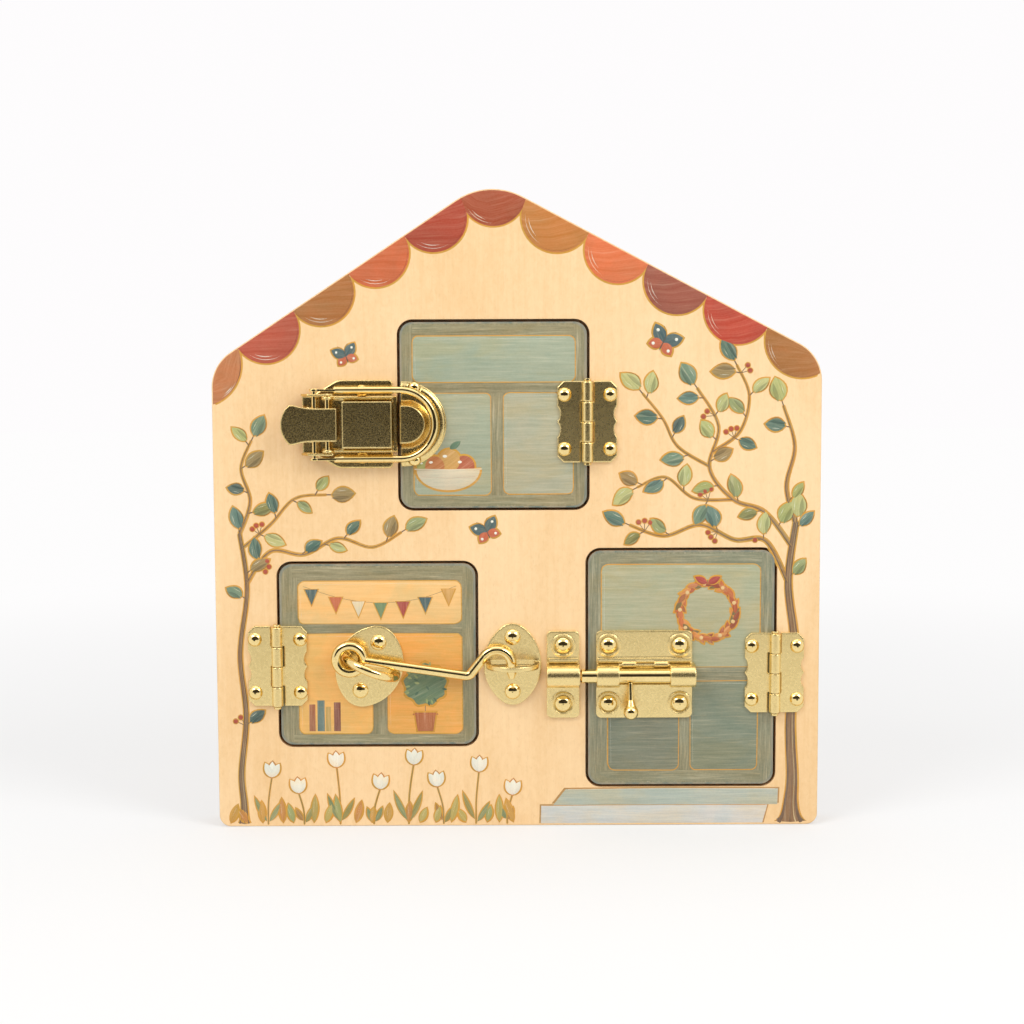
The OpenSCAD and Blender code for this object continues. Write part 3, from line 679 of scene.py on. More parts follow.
    def _rings(self, line: Sequence[Point], width: Width,
               loop: bool) -> list[tuple[float, float, float, float, float]]:
        """Give each ring's place, its heading and its width.

        Args:
            line: The points that the stroke follows.
            width: Its width, or a function of the way along from 0 to 1.
            loop: Whether the line closes on itself.

        Returns:
            A list of x, z, the heading as two numbers, and the width.
        """
        path = [*line, line[0]] if loop else list(line)
        last = len(path) - 1
        before, after = (path[-2], path[1]) if loop else (path[0], path[-1])
        rings = []
        for i, ((x0, z0), (x, z), (x1, z1)) in enumerate(
                zip([before, *path[:-1]], path, [*path[1:], after])):
            size = math.dist((x0, z0), (x1, z1)) or 1.0
            wide = max(self.thinnest, width(i / last) if callable(width) else width)
            rings.append((x, z, (x1 - x0) / size, (z1 - z0) / size, wide))
        if loop:
            return rings
        caps = []
        for side, (x, z, dx, dz, wide) in ((-self.cap, rings[0]), (self.cap, rings[-1])):
            reach = side * min(wide, self.cap_width)
            caps.append((x + reach * dx, z + reach * dz, dx, dz, 0.0))
        return [caps[0], *rings, caps[1]]

    def _face_out(self) -> None:
        """Turn round any patch whose top looks into the wood."""
        for top in self.tops:
            if top.normal.y <= 0:
                continue
            shell, fresh = {top}, [top]
            while fresh:
                near = {f for e in fresh.pop().edges for f in e.link_faces} - shell
                shell |= near
                fresh.extend(near)
            bmesh.ops.reverse_faces(self.bm, faces=list(shell))

    def build(self) -> bpy.types.Object:
        """Paint the piece and set it on its body.

        Returns:
            The finished object.
        """
        self.paint()
        bmesh.ops.remove_doubles(self.bm, verts=self.seams, dist=self.weld)
        bmesh.ops.recalc_face_normals(self.bm, faces=self.bm.faces)
        self._face_out()
        bmesh.ops.scale(self.bm, vec=(MM, MM, MM), verts=self.bm.verts)
        bmesh.ops.translate(self.bm, vec=(0, FACE_Y * MM, 0), verts=self.bm.verts)
        open_edges = sum(1 for e in self.bm.edges if not e.is_manifold)
        piece = link_mesh(self.name, self.bm, self.material)
        piece.data.set_sharp_from_angle(angle=math.radians(self.crease))
        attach(piece, self.body)
        LOG.info("%s: %d faces, %d open edges", self.name, len(piece.data.polygons), open_edges)
        return piece


def link_mesh(name: str, bm: bmesh.types.BMesh, material: bpy.types.Material) -> bpy.types.Object:
    """Turn a bmesh into an object at the origin.

    Args:
        name: The object's name.
        bm: The finished shape, which is freed.
        material: Its finish.

    Returns:
        The object, in the scene.
    """
    mesh = bpy.data.meshes.new(name)
    bm.to_mesh(mesh)
    bm.free()
    mesh.materials.append(material)
    piece = bpy.data.objects.new(name, mesh)
    bpy.context.scene.collection.objects.link(piece)
    return piece


@dataclass
class HouseOutline:
    """The edge of the board, for paint that follows the roof."""

    corners: tuple[Triple, ...] = (
        (120, 0, 4.5), (120, 187.7, 16.5), (-10.8, 256.9, 25.6), (-120, 184.8, 16.5),
        (-120, 0, 4.5))
    inset: float = 0.45
    foot: float = 150.0
    steps: int = 12
    margin: float = 0.4

    def line(self) -> list[Point]:
        """Give the outline over the roof, left to right, with some wall at both ends.

        Returns:
            Its points.
        """
        line = [(self.corners[-1][0] + self.inset, self.foot)]
        for i in (3, 2, 1):
            after, (x, z, r), before = self.corners[i + 1], self.corners[i], self.corners[i - 1]
            at = Vector((x, z))
            a = (Vector(after[:2]) - at).normalized()
            b = (Vector(before[:2]) - at).normalized()
            half = a.angle(b) / 2
            centre = at + (a + b).normalized() * r / math.sin(half)
            start, end = (at + way * r / math.tan(half) - centre for way in (a, b))
            turn, reach = start.angle(end), r - self.inset
            for k in range(self.steps + 1):
                angle = math.atan2(start.y, start.x) - turn * k / self.steps
                line.append((centre.x + reach * math.cos(angle),
                             centre.y + reach * math.sin(angle)))
        return [*line, (self.corners[0][0] - self.inset, self.foot)]

    def snap(self, p: Point) -> tuple[float, Point]:
        """Find the place on the edge nearest to a point.

        Args:
            p: The point.

        Returns:
            How far along the edge that place is, and the place.
        """
        best, walked, line = (1e9, 0.0, p), 0.0, self.line()
        for (x0, z0), (x1, z1) in zip(line, line[1:]):
            size = math.hypot(x1 - x0, z1 - z0)
            t = max(0, min(1, ((p[0] - x0) * (x1 - x0) + (p[1] - z0) * (z1 - z0)) / size ** 2))
            q = (x0 + (x1 - x0) * t, z0 + (z1 - z0) * t)
            best = min(best, (math.dist(p, q), walked + t * size, q))
            walked += size
        return best[1], best[2]

    def between(self, start: float, end: float) -> list[Point]:
        """Give the corner points of the edge between two places on it, right to left.

        Args:
            start: How far along the edge the left place is.
            end: How far along it the right place is.

        Returns:
            The points.
        """
        walked, inside, line = 0.0, [], self.line()
        for before, after in zip(line, line[1:]):
            walked += math.dist(before, after)
            if start + self.margin < walked < end - self.margin:
                inside.append(after)
        return inside[::-1]


@dataclass(kw_only=True)
class RoofTrim(PaintedPiece):
    """The row of half-round shingles painted under the roof's edge."""

    name: str = "roof_shingles"
    roof: HouseOutline = field(default_factory=HouseOutline)
    joints: tuple[Point, ...] = (
        (-119.6, 169.4), (-109.4, 191.4), (-88.0, 206.6), (-66.2, 220.9), (-44.2, 235.6),
        (-21.8, 249.6), (3.9, 249.1), (28.8, 236.4), (51.9, 224.0), (75.1, 211.9),
        (98.5, 198.7), (119.6, 180.8))
    bottoms: tuple[Point, ...] = (
        (-110.5, 176.8), (-97.7, 185.4), (-76.0, 200.0), (-54.5, 214.9), (-31.7, 228.4),
        (-8.9, 238.4), (18.4, 228.3), (40.5, 216.0), (63.7, 203.9), (88.4, 192.2),
        (109.3, 179.2))
    tints: tuple[str, ...] = ("C47746", "BC4B30", "AE6A2A", "D2602C", "B23A1C", "AA461E",
                              "C67A2E", "E2703A", "9E4C38", "C03C24", "B06C2C")
    glints: tuple[tuple[float, int, int, float], ...] = ((0.11, 3, 12, 0.9), (0.20, 4, 10, 1.3))
    steps: int = 24
    fan_rise: float = 1.2

    def paint(self) -> None:
        """Paint each shingle, between two joints of the roof's edge and round a foot."""
        def inward(share: float, first: int, last: int) -> list[Point]:
            """Give part of the round edge, moved in by a share of the radius."""
            return [tuple(p[k] + (mid[k] - p[k]) * share for k in (0, 1))
                    for p in bowl[first:last]]

        dark = swell(0.95, 0.1)
        for left, right, foot, tint in zip(self.joints, self.joints[1:], self.bottoms, self.tints):
            (start, a), (end, b) = self.roof.snap(left), self.roof.snap(right)
            bowl = arc_through(a, foot, b, self.steps)
            mid = ((a[0] + b[0]) / 2, (a[1] + b[1]) / 2)
            above = tuple(m + self.fan_rise * (m - f) for m, f in zip(mid, foot))
            self.stroke(inward(-0.01, 1, -1), 1.5, OCHRE, 0.10, 0.1)
            self.patch([*bowl, *self.roof.between(start, end)], tint, 0.17, dry=0.24, rim=0.3,
                       fan=above)
            self.stroke(inward(0.05, 11, -1), lambda t: dark(min(1, t + 0.1)),
                        shade(tint, 0.26), 0.20, 0.1)
            for share, first, last, wide in self.glints:
                self.stroke(inward(share, first, last), swell(wide), CREAM, 0.22, 0.8)


@dataclass(frozen=True)
class Stem:
    """One branch: its course, its width at both ends and how far its foot spreads."""

    course: tuple[Point, ...]
    thick: float
    thin: float
    foot: float = 0.0

    def width(self, t: float) -> float:
        """Give the width a share t of the way up."""
        return self.thick * (1 - t) + self.thin * t + self.foot * math.exp(-t * 13)

    def band(self, share: float, more: float) -> Callable[[float], float]:
        """Give the width of a band that covers a share of the stem."""
        return lambda t: share * self.width(t) + more

    def line(self, steps: int, aside: float = 0.0) -> list[Point]:
        """Give the stem's course, moved aside by a share of its width."""
        path = curve_through(self.course, steps)
        return [(x + aside * self.width(i / (len(path) - 1)), z) for i, (x, z) in enumerate(path)]


@dataclass(kw_only=True)
class LeafyVine(PaintedPiece):
    """A climbing vine with alternate leaves and a few berries."""

    stems: tuple[Stem, ...]
    length: float
    width: float
    bare: Box
    trunk: float = 3.0
    trunk_bare: float = 40.0
    first_leaf: float = 8.6
    spacing: Point = (7.6, 10.4)
    splay: Point = (40, 66)
    sizes: Point = (0.80, 1.12)
    slimness: Point = (0.80, 1.08)
    curl: Point = (-0.16, 0.16)
    thinned_from: float = 2.4
    thinned: float = 0.5
    berried: float = 0.12
    wall: float = 118.8
    openings: tuple[Box, ...] = (
        (-47.6, 29.2, 126.4, 203.0), (-96.4, -15.0, 31.5, 107.7), (26.3, 103.8, 14.8, 112.6))
    greens: tuple[str, ...] = ("6F8C72", "3F5F5A", "9BA46C", "B7BA72", "4F7466", "A9AE66",
                               "47635C", "C3C27F", "8A8A4E", "A08450", "5E8276")

    def paint(self) -> None:
        """Paint the stems, then their leaves and berries."""
        for stem in self.stems:
            self._stem(stem)
        for number, stem in enumerate(self.stems):
            self._leaves(stem, 1 if number % 2 else -1)

    def _clear(self, outline: Iterable[Point]) -> bool:
        """Tell whether an outline keeps off the door openings and the board's sides."""
        return all(abs(x) < self.wall and not any(within((x, z), box) for box in self.openings)
                   for x, z in outline)

    def _stem(self, stem: Stem) -> None:
        """Paint one stem: an ochre edge, the brown wood, dark bark lines and a lit one.

        Args:
            stem: The stem.
        """
        if stem.thick > self.trunk:
            wood = [(0.0, 1.0, 0.0, "8E6A48", 0.15, 0.35), (-0.30, 0.16, 0.12, UMBER, 0.19, 0.35),
                    (-0.02, 0.10, 0.12, UMBER, 0.19, 0.35), (0.26, 0.13, 0.12, UMBER, 0.19, 0.35),
                    (0.12, 0.07, 0.05, "D9C49A", 0.20, 0.4)]
        else:
            wood = [(0.0, 1.0, 0.0, "A67C44", 0.15, 0.35), (-0.18, 0.36, 0.12, UMBER, 0.19, 0.35)]
        for aside, share, more, tint, lift, dry in ((0.0, 1.0, 1.1, OCHRE, 0.09, 0.2), *wood):
            self.stroke(stem.line(9, aside), stem.band(share, more), tint, lift, dry)

    def _leaves(self, stem: Stem, side: int) -> None:
        """Set leaves along one stem by turns, with a berry here and there.

        Args:
            stem: The stem.
            side: Which side the turns start from, 1 or -1.
        """
        line = stem.line(12)
        walked, spacing = 0.0, self.first_leaf
        for (x0, z0), (x1, z1) in zip(line, line[1:]):
            walked += math.hypot(x1 - x0, z1 - z0)
            if walked < spacing:
                continue
            walked, side = 0.0, -side
            spacing = self.dice.uniform(*self.spacing)
            heading = math.degrees(math.atan2(z1 - z0, x1 - x0))
            angle = heading + side * self.dice.uniform(*self.splay)
            size = self.dice.uniform(*self.sizes)
            if z1 < self.trunk_bare and stem.thick > self.trunk or within((x1, z1), self.bare):
                continue
            if stem.thick > self.thinned_from and self.dice.random() < self.thinned:
                continue
            self._one_leaf((x1, z1), angle, size)
            if self.dice.random() < self.berried:
                self._berries((x1, z1), heading - side * 70)
        (px, pz), (x, z) = line[-6], line[-1]
        self._one_leaf((x, z), math.degrees(math.atan2(z - pz, x - px)), 1.1)

    def _one_leaf(self, root: Point, angle: float, size: float) -> None:
        """Paint a leaf on its short stalk, with a dark side, a rib and a lit line.

        Args:
            root: Where the stalk leaves the stem.
            angle: The way it points, in degrees.
            size: Its size, where 1 is the vine's usual one.
        """
        length, width = self.length * size, self.width * size * self.dice.uniform(*self.slimness)
        base = polar(root, angle, 2.2)
        green = paint_colour(self.dice.choice(self.greens))
        bend = self.dice.uniform(*self.curl)
        if not self._clear(leaf_outline(base, angle, length + 0.8, width + 0.8, bend)):
            return
        self.stroke([root, base], 0.6, UMBER, 0.13, 0.1)
        self.leaf(polar(base, angle, -0.5), angle, length + 1.2, width + 1.15, OCHRE, 0.10,
                  0.15, 0.14, bend)
        self.leaf(base, angle, length, width, green, 0.18, 0.5, 0.3, bend)
        side = self.dice.choice((-1, 1))
        self.leaf(polar(base, angle + 90, side * width * 0.22), angle, length * 0.82,
                  width * 0.30, shade(green, 0.66), 0.205, 0.2, 0.1, bend)
        far = leaf_outline(base, angle, length + 0.3, width + 0.25, bend)
        self.stroke(far[1:7] if side > 0 else far[8:14], swell(0.5, 0.05), UMBER, 0.215, 0.1)
        rib = leaf_rib(base, angle, length * 0.86, bend)
        self.stroke(rib, thin_out(0.42, 0.1), shade(green, 0.42), 0.23, 0.0)
        lit = [polar(p, angle + 90, -side * width * 0.25) for p in rib[2:6]]
        self.stroke(lit, swell(0.85), "F1F0DC", 0.24, 0.1)

    def _berries(self, root: Point, angle: float) -> None:
        """Paint two or three berries on thin stalks.

        Args:
            root: Where the stalks leave the stem.
            angle: The way the second one points, in degrees.
        """
        for k in range(self.dice.choice((2, 3))):
            tip = polar(root, angle + (k - 1) * 34, self.dice.uniform(3.4, 4.6))
            if not self._clear(arc_points(tip, (1.6, 1.6), 0, 330, 8)):
                continue
            self.stroke([root, tip], 0.34, UMBER, 0.12, 0.0)
            self.dot(tip, 1.25, OCHRE, 0.12, 0.1, 0.12, 12)
            self.dot(tip, 0.95, "B2472F", 0.22, 0.2, 0.3, 12)
            self.dot((tip[0] - 0.3, tip[1] + 0.3), 0.24, CREAM, 0.26, 0.0, 0.0, 8, 315)


@dataclass(kw_only=True)
class Meadow(PaintedPiece):
    """Tulips and grass along the foot of the wall, and the stone doorstep."""

    name: str = "meadow_and_step"
    seed: int = 11
    tulips: tuple[Triple, ...] = (
        (-100.5, 19.5, 4), (-86.0, 13.0, -5), (-71.5, 23.5, -3), (-58.0, 14.5, 6),
        (-44.0, 24.5, 5), (-30.0, 15.5, -6), (-17.0, 21.5, 3), (-4.5, 12.0, 5))
    slabs: tuple[tuple[str, tuple[Point, ...]], ...] = (
        ("B9BFB2", ((14.0, 8.2), (104.0, 8.2), (104.2, 14.6), (60, 14.9), (19.0, 14.6))),
        ("DAD7D2", ((9.0, 0.7), (98.0, 0.7), (100.0, 8.0), (50, 8.2), (9.2, 7.9))))
    petals: tuple[Triple, ...] = ((26, 3.2, 0.94), (-26, 3.2, 0.94), (0, 3.5, 1.0))
    greens: tuple[str, ...] = ("9A8F4E", "7E8A5A", "B07C3C", "8C9360")
    grasses: tuple[str, ...] = ("B59B4E", "D39B42", "9FA262", "CC873C", "BDAA5C")
    blades: int = 19
    first_blade: float = -114.5
    blade_step: float = 6.3

    def paint(self) -> None:
        """Paint the doorstep, the tulips and the grass."""
        for tint, slab in self.slabs:
            self.patch(grown(slab, (52, 5), 0.6, 0.55, 0), "B98A4C", 0.07, 0, 0.2, 0.1)
            self.patch(slab, tint, 0.13, 0, 0.45, 0.25)
        self.stroke([(10, 7.9), (40, 8.1), (99, 8.0)], 0.6, "C98F4A", 0.16, 0.3)
        self.stroke([(20, 14.5), (60, 14.7), (103, 14.5)], 0.5, "E8E4D8", 0.16, 0.3)
        self._tulips()
        self._grass()

    def _tulips(self) -> None:
        """Paint each tulip: a stem, two folded leaves and three petals."""
        for x, height, lean in self.tulips:
            head = (x + lean * 0.4, height)
            stem = curve_through([(x, 0.8), (x + lean * 0.05, height * 0.5), head], 6)
            self.stroke(stem, 1.15, OCHRE, 0.10, 0.1)
            self.stroke(stem, 0.66, "8A7B4E", 0.15, 0.2)
            for side in (-1, 1):
                foot = (x + side * 0.5, 1.2 + self.dice.uniform(0, 1.5))
                angle = 90 - side * self.dice.uniform(22, 38)
                length = height * self.dice.uniform(0.42, 0.58)
                self.leaf(foot, angle, length + 0.8, 3.0, OCHRE, 0.10, bend=side * 0.1)
                self.leaf(foot, angle, length, 2.1, self.dice.choice(self.greens), 0.16, 0.5,
                          0.16, side * 0.1)
            for turn, wide, tone in self.petals:
                way = 90 + turn - lean
                self.patch(leaf_outline(head, way, 7.4, wide + 1.0), OCHRE if turn else "C98A45",
                           0.12 + tone * 0.02, 90 + turn, 0.1, 0.12)
                self.patch(leaf_outline((head[0], head[1] + 0.35), way, 6.6, wide),
                           shade(CREAM, tone), 0.17 + tone * 0.03, 90 + turn, 0.35, 0.2)
                self.stroke(leaf_rib(head, way, 4.4), thin_out(0.5, 0.08), "D98A55", 0.23, 0.3)

    def _grass(self) -> None:
        """Paint stout leaves that stand on the ground."""
        for k in range(self.blades):
            x = self.first_blade + k * self.blade_step + self.dice.uniform(-1.2, 1.2)
            height, lean = self.dice.uniform(5.5, 11.5), self.dice.uniform(-4.5, 4.5)
            angle, bend = 90 - math.degrees(math.atan2(lean, height)), lean * 0.02
            self.leaf((x, 1.0), angle, height + 1.0, 3.9, OCHRE, 0.131, bend=bend)
            self.leaf((x, 1.5), angle, height, 2.8, self.dice.choice(self.grasses), 0.193, 0.4,
                      0.25, bend)
            lit = [(x + lean * t - 0.4, 1.5 + height * t) for t in (0.35, 0.55, 0.75)]
            self.stroke(lit, swell(0.6), CREAM, 0.24, 0.3)


@dataclass(kw_only=True)
class Butterflies(PaintedPiece):
    """Small butterflies that rest on the wall."""

    name: str = "butterflies"
    places: tuple[tuple[float, float, float, float], ...] = (
        (-12.0, 118.5, 24, 1.0), (57.5, 193.0, -28, 1.15), (-67.0, 188.0, 18, 0.9))
    wings: tuple[tuple[float, float, float, str], ...] = (
        (40, 7.0, 4.6, "3F5E62"), (-32, 5.2, 3.9, "D0603A"))
    spine: tuple[float, ...] = (-2.9, -1.4, 0.2, 1.8, 2.7)

    def paint(self) -> None:
        """Paint each butterfly: four wings, a body and two feelers."""
        for x, z, turn, size in self.places:
            at = (x, z)
            for side in (-1, 1):
                for angle, length, width, tint in self.wings:
                    way = 90 + turn - side * (90 - angle)
                    self.leaf(at, way, (length + 0.7) * size, (width + 0.9) * size, OCHRE, 0.11)
                    self.leaf(at, way, length * size, width * size, tint, 0.18, 0.35, 0.2)
                    spot = polar(at, way, length * 0.66 * size)
                    self.dot(spot, 0.62 * size, CREAM, 0.22, 0.1, 0.1, 9, 320)
            spine = [polar(at, 90 + turn, t * size) for t in self.spine]
            self.stroke(spine, swell(1.25 * size, 0.12 * size), INK, 0.27, 0.1)
            for side in (-1, 1):
                tip = polar(at, 90 + turn - side * 24, 5.6 * size)
                self.stroke([spine[-1], tip], 0.26, INK, 0.2, 0.0)


class Boards(Enum):
    """The two ways that a brush runs along a door's framing."""

    LEVEL = 0.0
    UPRIGHT = 90.0


@dataclass(kw_only=True)
class DoorPicture(PaintedPiece):
    """A door painted as a window or a panelled door, with its upper pane first."""

    slot: str = "door_wood"
    span: Box
    panes: tuple[Pane, ...]
    frame: str = "8E8662"
    corner: float = 4.6
    pane_corner: float = 2.4
    pane_dry: float = 0.35
    edge: float = 0.95
    wobble: float = 0.16
    rail_in: float = 4.2
    stile_in: float = 4.4
    border: float = 0.5
    gap: float = 0.2

    def paint(self) -> None:
        """Paint the framing, the panes and what shows in them."""
        self._framing()
        for *box, tint in self.panes:
            self.patch(rounded_pane(*box, self.pane_corner), tint, 0.16, 0, self.pane_dry, 0.25)
            self._edge(*box)
        self.motif()

    def motif(self) -> None:
        """Draw what shows in the panes, on each door."""

    def _framing(self) -> None:
        """Paint the ground of the frame, brushed along each member."""
        x0, x1, z0, z1 = self.span
        tone = shade(self.frame)
        self.patch(rounded_pane(x0, x1, z0, z1, self.corner), tone, 0.05, 90, 0.6, 0.3)
        upper, *rest = self.panes
        left, right = min(p[0] for p in self.panes), max(p[1] for p in self.panes)
        low, high, bar = min(p[2] for p in self.panes), upper[3], max(p[3] for p in rest)
        rail, stile, border, gap = self.rail_in, self.stile_in, self.border, self.gap
        members = (
            ((x0 + rail, x1 - rail, z0 + border, low - gap), 1.04, 0.085, 0.2, Boards.LEVEL),
            ((x0 + rail, x1 - rail, high + gap, z1 - border), 1.04, 0.085, 0.2, Boards.LEVEL),
            ((x0 + border, left - gap, z0 + stile, z1 - stile), 1.0, 0.09, 0.2, Boards.UPRIGHT),
            ((right + gap, x1 - border, z0 + stile, z1 - stile), 1.0, 0.09, 0.2, Boards.UPRIGHT),
            ((left, right, bar, upper[2]), 0.97, 0.095, 0.15, Boards.LEVEL),
            ((min(p[1] for p in rest), max(p[0] for p in rest), low, bar), 1.0, 0.10, 0.15,
             Boards.UPRIGHT))
        for box, factor, lift, rim, way in members:
            self.patch(board_outline(*box), shade(tone, factor), lift, way.value, 0.65, rim)

    def _edge(self, x0: float, x1: float, z0: float, z1: float) -> None:
        """Outline a pane by hand, with two light lines inside it.

        Args:
            x0: Its left side.
            x1: Its right side.
            z0: Its foot.
            z1: Its top.
        """
        dice, near = random.Random(int(x0 * 7 + z1)), self.wobble
        sway = [(x + dice.uniform(-near, near), z + dice.uniform(-near, near))
                for x, z in rounded_pane(x0, x1, z0, z1, self.pane_corner + 0.2)]
        self.stroke(sway, self.edge, OCHRE, 0.21, 0.3, loop=True)
        across = [(x0 + 2, z1 - 1.2), (x0 + (x1 - x0) * 0.55, z1 - 1.0), (x1 - 3, z1 - 1.25)]
        down = [(x0 + 1.15, z0 + 2.5), (x0 + 1.0, (z0 + z1) / 2), (x0 + 1.2, z1 - 3)]
        for line, wide in ((across, 0.85), (down, 0.8)):
            self.stroke(line, swell(wide), "F4F1E6", 0.20, 0.3)


@dataclass(kw_only=True)
class FruitWindow(DoorPicture):
    """The upper window, with a bowl of fruit on its sill."""

    name: str = "top_door_picture"
    body: str = "top_door"
    span: Box = (-45.2, 26.6, 128.8, 200.6)
    panes: tuple[Pane, ...] = (
        (-41.0, 22.9, 177.8, 195.8, "A4AE95"), (-40.6, -10.2, 133.2, 173.4, "A8AC91"),
        (-5.4, 22.2, 133.6, 173.4, "B2B095"))
    sill: float = 134.2
    fruit: tuple[tuple[float, float, float, str], ...] = (
        (-32.5, 10.4, 4.3, "C9783C"), (-21.0, 10.4, 4.5, "B9552F"), (-26.8, 12.6, 4.8, "D9A050"),
        (-36.6, 10.4, 3.3, "A9A85A"))

    def motif(self) -> None:
        """Paint the fruit, then the bowl with its rim and two painted lines."""
        z = self.sill
        for x, up, r, tint in self.fruit:
            at = (x, z + up)
            self.dot(at, r + 0.6, OCHRE, 0.22, 0.1, 0.2, 20, 345)
            self.dot(at, r, tint, 0.28, 0.45, 0.5, 20, 345, 35)
            self.dot((x - r * 0.35, z + up + r * 0.38), (r * 0.2, r * 0.14), CREAM, 0.32, 0.2,
                     0.1, 9, 320)
        self.leaf((-26.6, z + 17.2), 35, 5.4, 2.6, "5F7F62", 0.33, 0.3, 0.2)
        for reach, drop, tint, lift in ((13.4, 8.9, OCHRE, 0.30), (12.6, 8.2, "DCCDB0", 0.36)):
            self.patch(arc_points((-27.2, z + 9.0), (reach, drop), 180, 360, 19), tint, lift, 0,
                       0.4, 0.25)
        for x0, x1, ends, middle, wide, tint, lift in (
                (-40.2, -14.2, 9.3, 9.0, 2.5, OCHRE, 0.38),
                (-40.2, -14.2, 9.3, 9.0, 1.6, "E6DABF", 0.44),
                (-38, -16.4, 6.4, 5.8, 0.8, "B9663E", 0.41),
                (-36, -18.4, 4.4, 3.7, 0.6, "6F8A84", 0.41)):
            self.stroke([(x0, z + ends), (-27, z + middle), (x1, z + ends)], wide, tint, lift, 0.3)


@dataclass(kw_only=True)
class ParlourWindow(DoorPicture):
    """The lower left window, with bunting and a clipped shrub."""

    name: str = "left_door_picture"
    body: str = "left_door"
    seed: int = 4
    span: Box = (-93.8, -17.6, 34.0, 105.1)
    panes: tuple[Pane, ...] = (
        (-87.2, -22.4, 82.0, 99.0, "F9C67E"), (-87.3, -58.0, 37.6, 78.0, "F6B962"),
        (-52.0, -22.2, 37.6, 78.0, "F1AC50"))
    pane_dry: float = 0.20
    cord: tuple[Point, ...] = (
        (-85.2, 97.0), (-70, 92.2), (-54.5, 90.4), (-39, 92.0), (-24.4, 97.0))
    flag_size: Point = (2.7, 6.4)
    shelf: Point = (-83.5, 38.6)
    book_step: float = 3.3
    crown: Point = (-37.0, 57.5)
    radius: float = 8.6
    leaves: int = 26
    clay: str = "B9622F"
    flags: tuple[str, ...] = (
        "3F5E62", "C9673C", "E7D8B8", "6E8A60", "B0443A", "3F5E62", "D9A050")
    books: tuple[tuple[str, float, float], ...] = (
        ("A9603A", 2.6, 11.0), ("5E7A76", 3.0, 12.6), ("C9A35A", 2.2, 10.0), ("8C4B3A", 2.8, 11.8))

    def motif(self) -> None:
        """Paint the bunting, the shrub and a few books."""
        cord = curve_through(self.cord, 7)
        self.stroke(cord, 0.5, UMBER, 0.24, 0.1)
        for k, tint in enumerate(self.flags):
            x, z = cord[2 + k * 4]
            half, drop = self.flag_size
            flag = [(x - half, z), (x + half, z), (x + 0.1, z - drop)]
            self.patch(grown(flag, (x, z - 0.1), 0.5, 0.2, 0.9), OCHRE, 0.21, 90, 0.1, 0.15)
            self.patch(flag, tint, 0.27, 90, 0.4, 0.25)
        self._shrub()
        for k, (tint, wide, tall) in enumerate(self.books):
            x, z = self.shelf[0] + k * self.book_step, self.shelf[1]
            self.patch(board_outline(x, x + wide, z, z + tall), tint, 0.24, 90, 0.45, 0.25)
            self.stroke([(x + 0.3, z + tall * 0.78), (x + wide - 0.3, z + tall * 0.78)], 0.5,
                        OCHRE, 0.27, 0.1)

    def _shrub(self) -> None:
        """Paint a round shrub in a clay pot."""
        at, r = self.crown, self.radius
        x, z = at
        self.stroke([(x, 46), (x, z - r + 2)], 1.5, UMBER, 0.22, 0.3)
        for scale, tint, lift, turn, dry, rim in ((1.08, OCHRE, 0.22, 0, 0.1, 0.2),
                                                  (1.0, "64805F", 0.29, 30, 0.4, 0.8)):
            edge = [polar(at, 9.0 * k, (r + 0.55 * math.sin(math.radians(81.0 * k))) * scale)
                    for k in range(40)]
            self.patch(edge, tint, lift, turn, dry, rim)
        for _ in range(self.leaves):
            a, d = self.dice.uniform(0, math.tau), r * math.sqrt(self.dice.uniform(0, 0.72))
            way = math.degrees(a)
            tone = self.dice.choice(("8FA06A", "4F6E57", "A5AD74"))
            self.leaf(polar(at, way, d), way, 2.3, 1.1, tone, 0.34, 0.2)
        pot = [(x - 4.4, 46.2), (x + 4.4, 46.2), (x + 3.2, 38.4), (x - 3.2, 38.4)]
        self.patch(grown(pot, (x, 42), 0.5, 0.5, 0.3), OCHRE, 0.26, 90, 0.1, 0.15)
        self.patch(pot, self.clay, 0.32, 90, 0.5, 0.3)
        self.stroke([(x - 4.9, 45.4), (x + 4.9, 45.4)], 1.7, "C9763E", 0.36, 0.3)


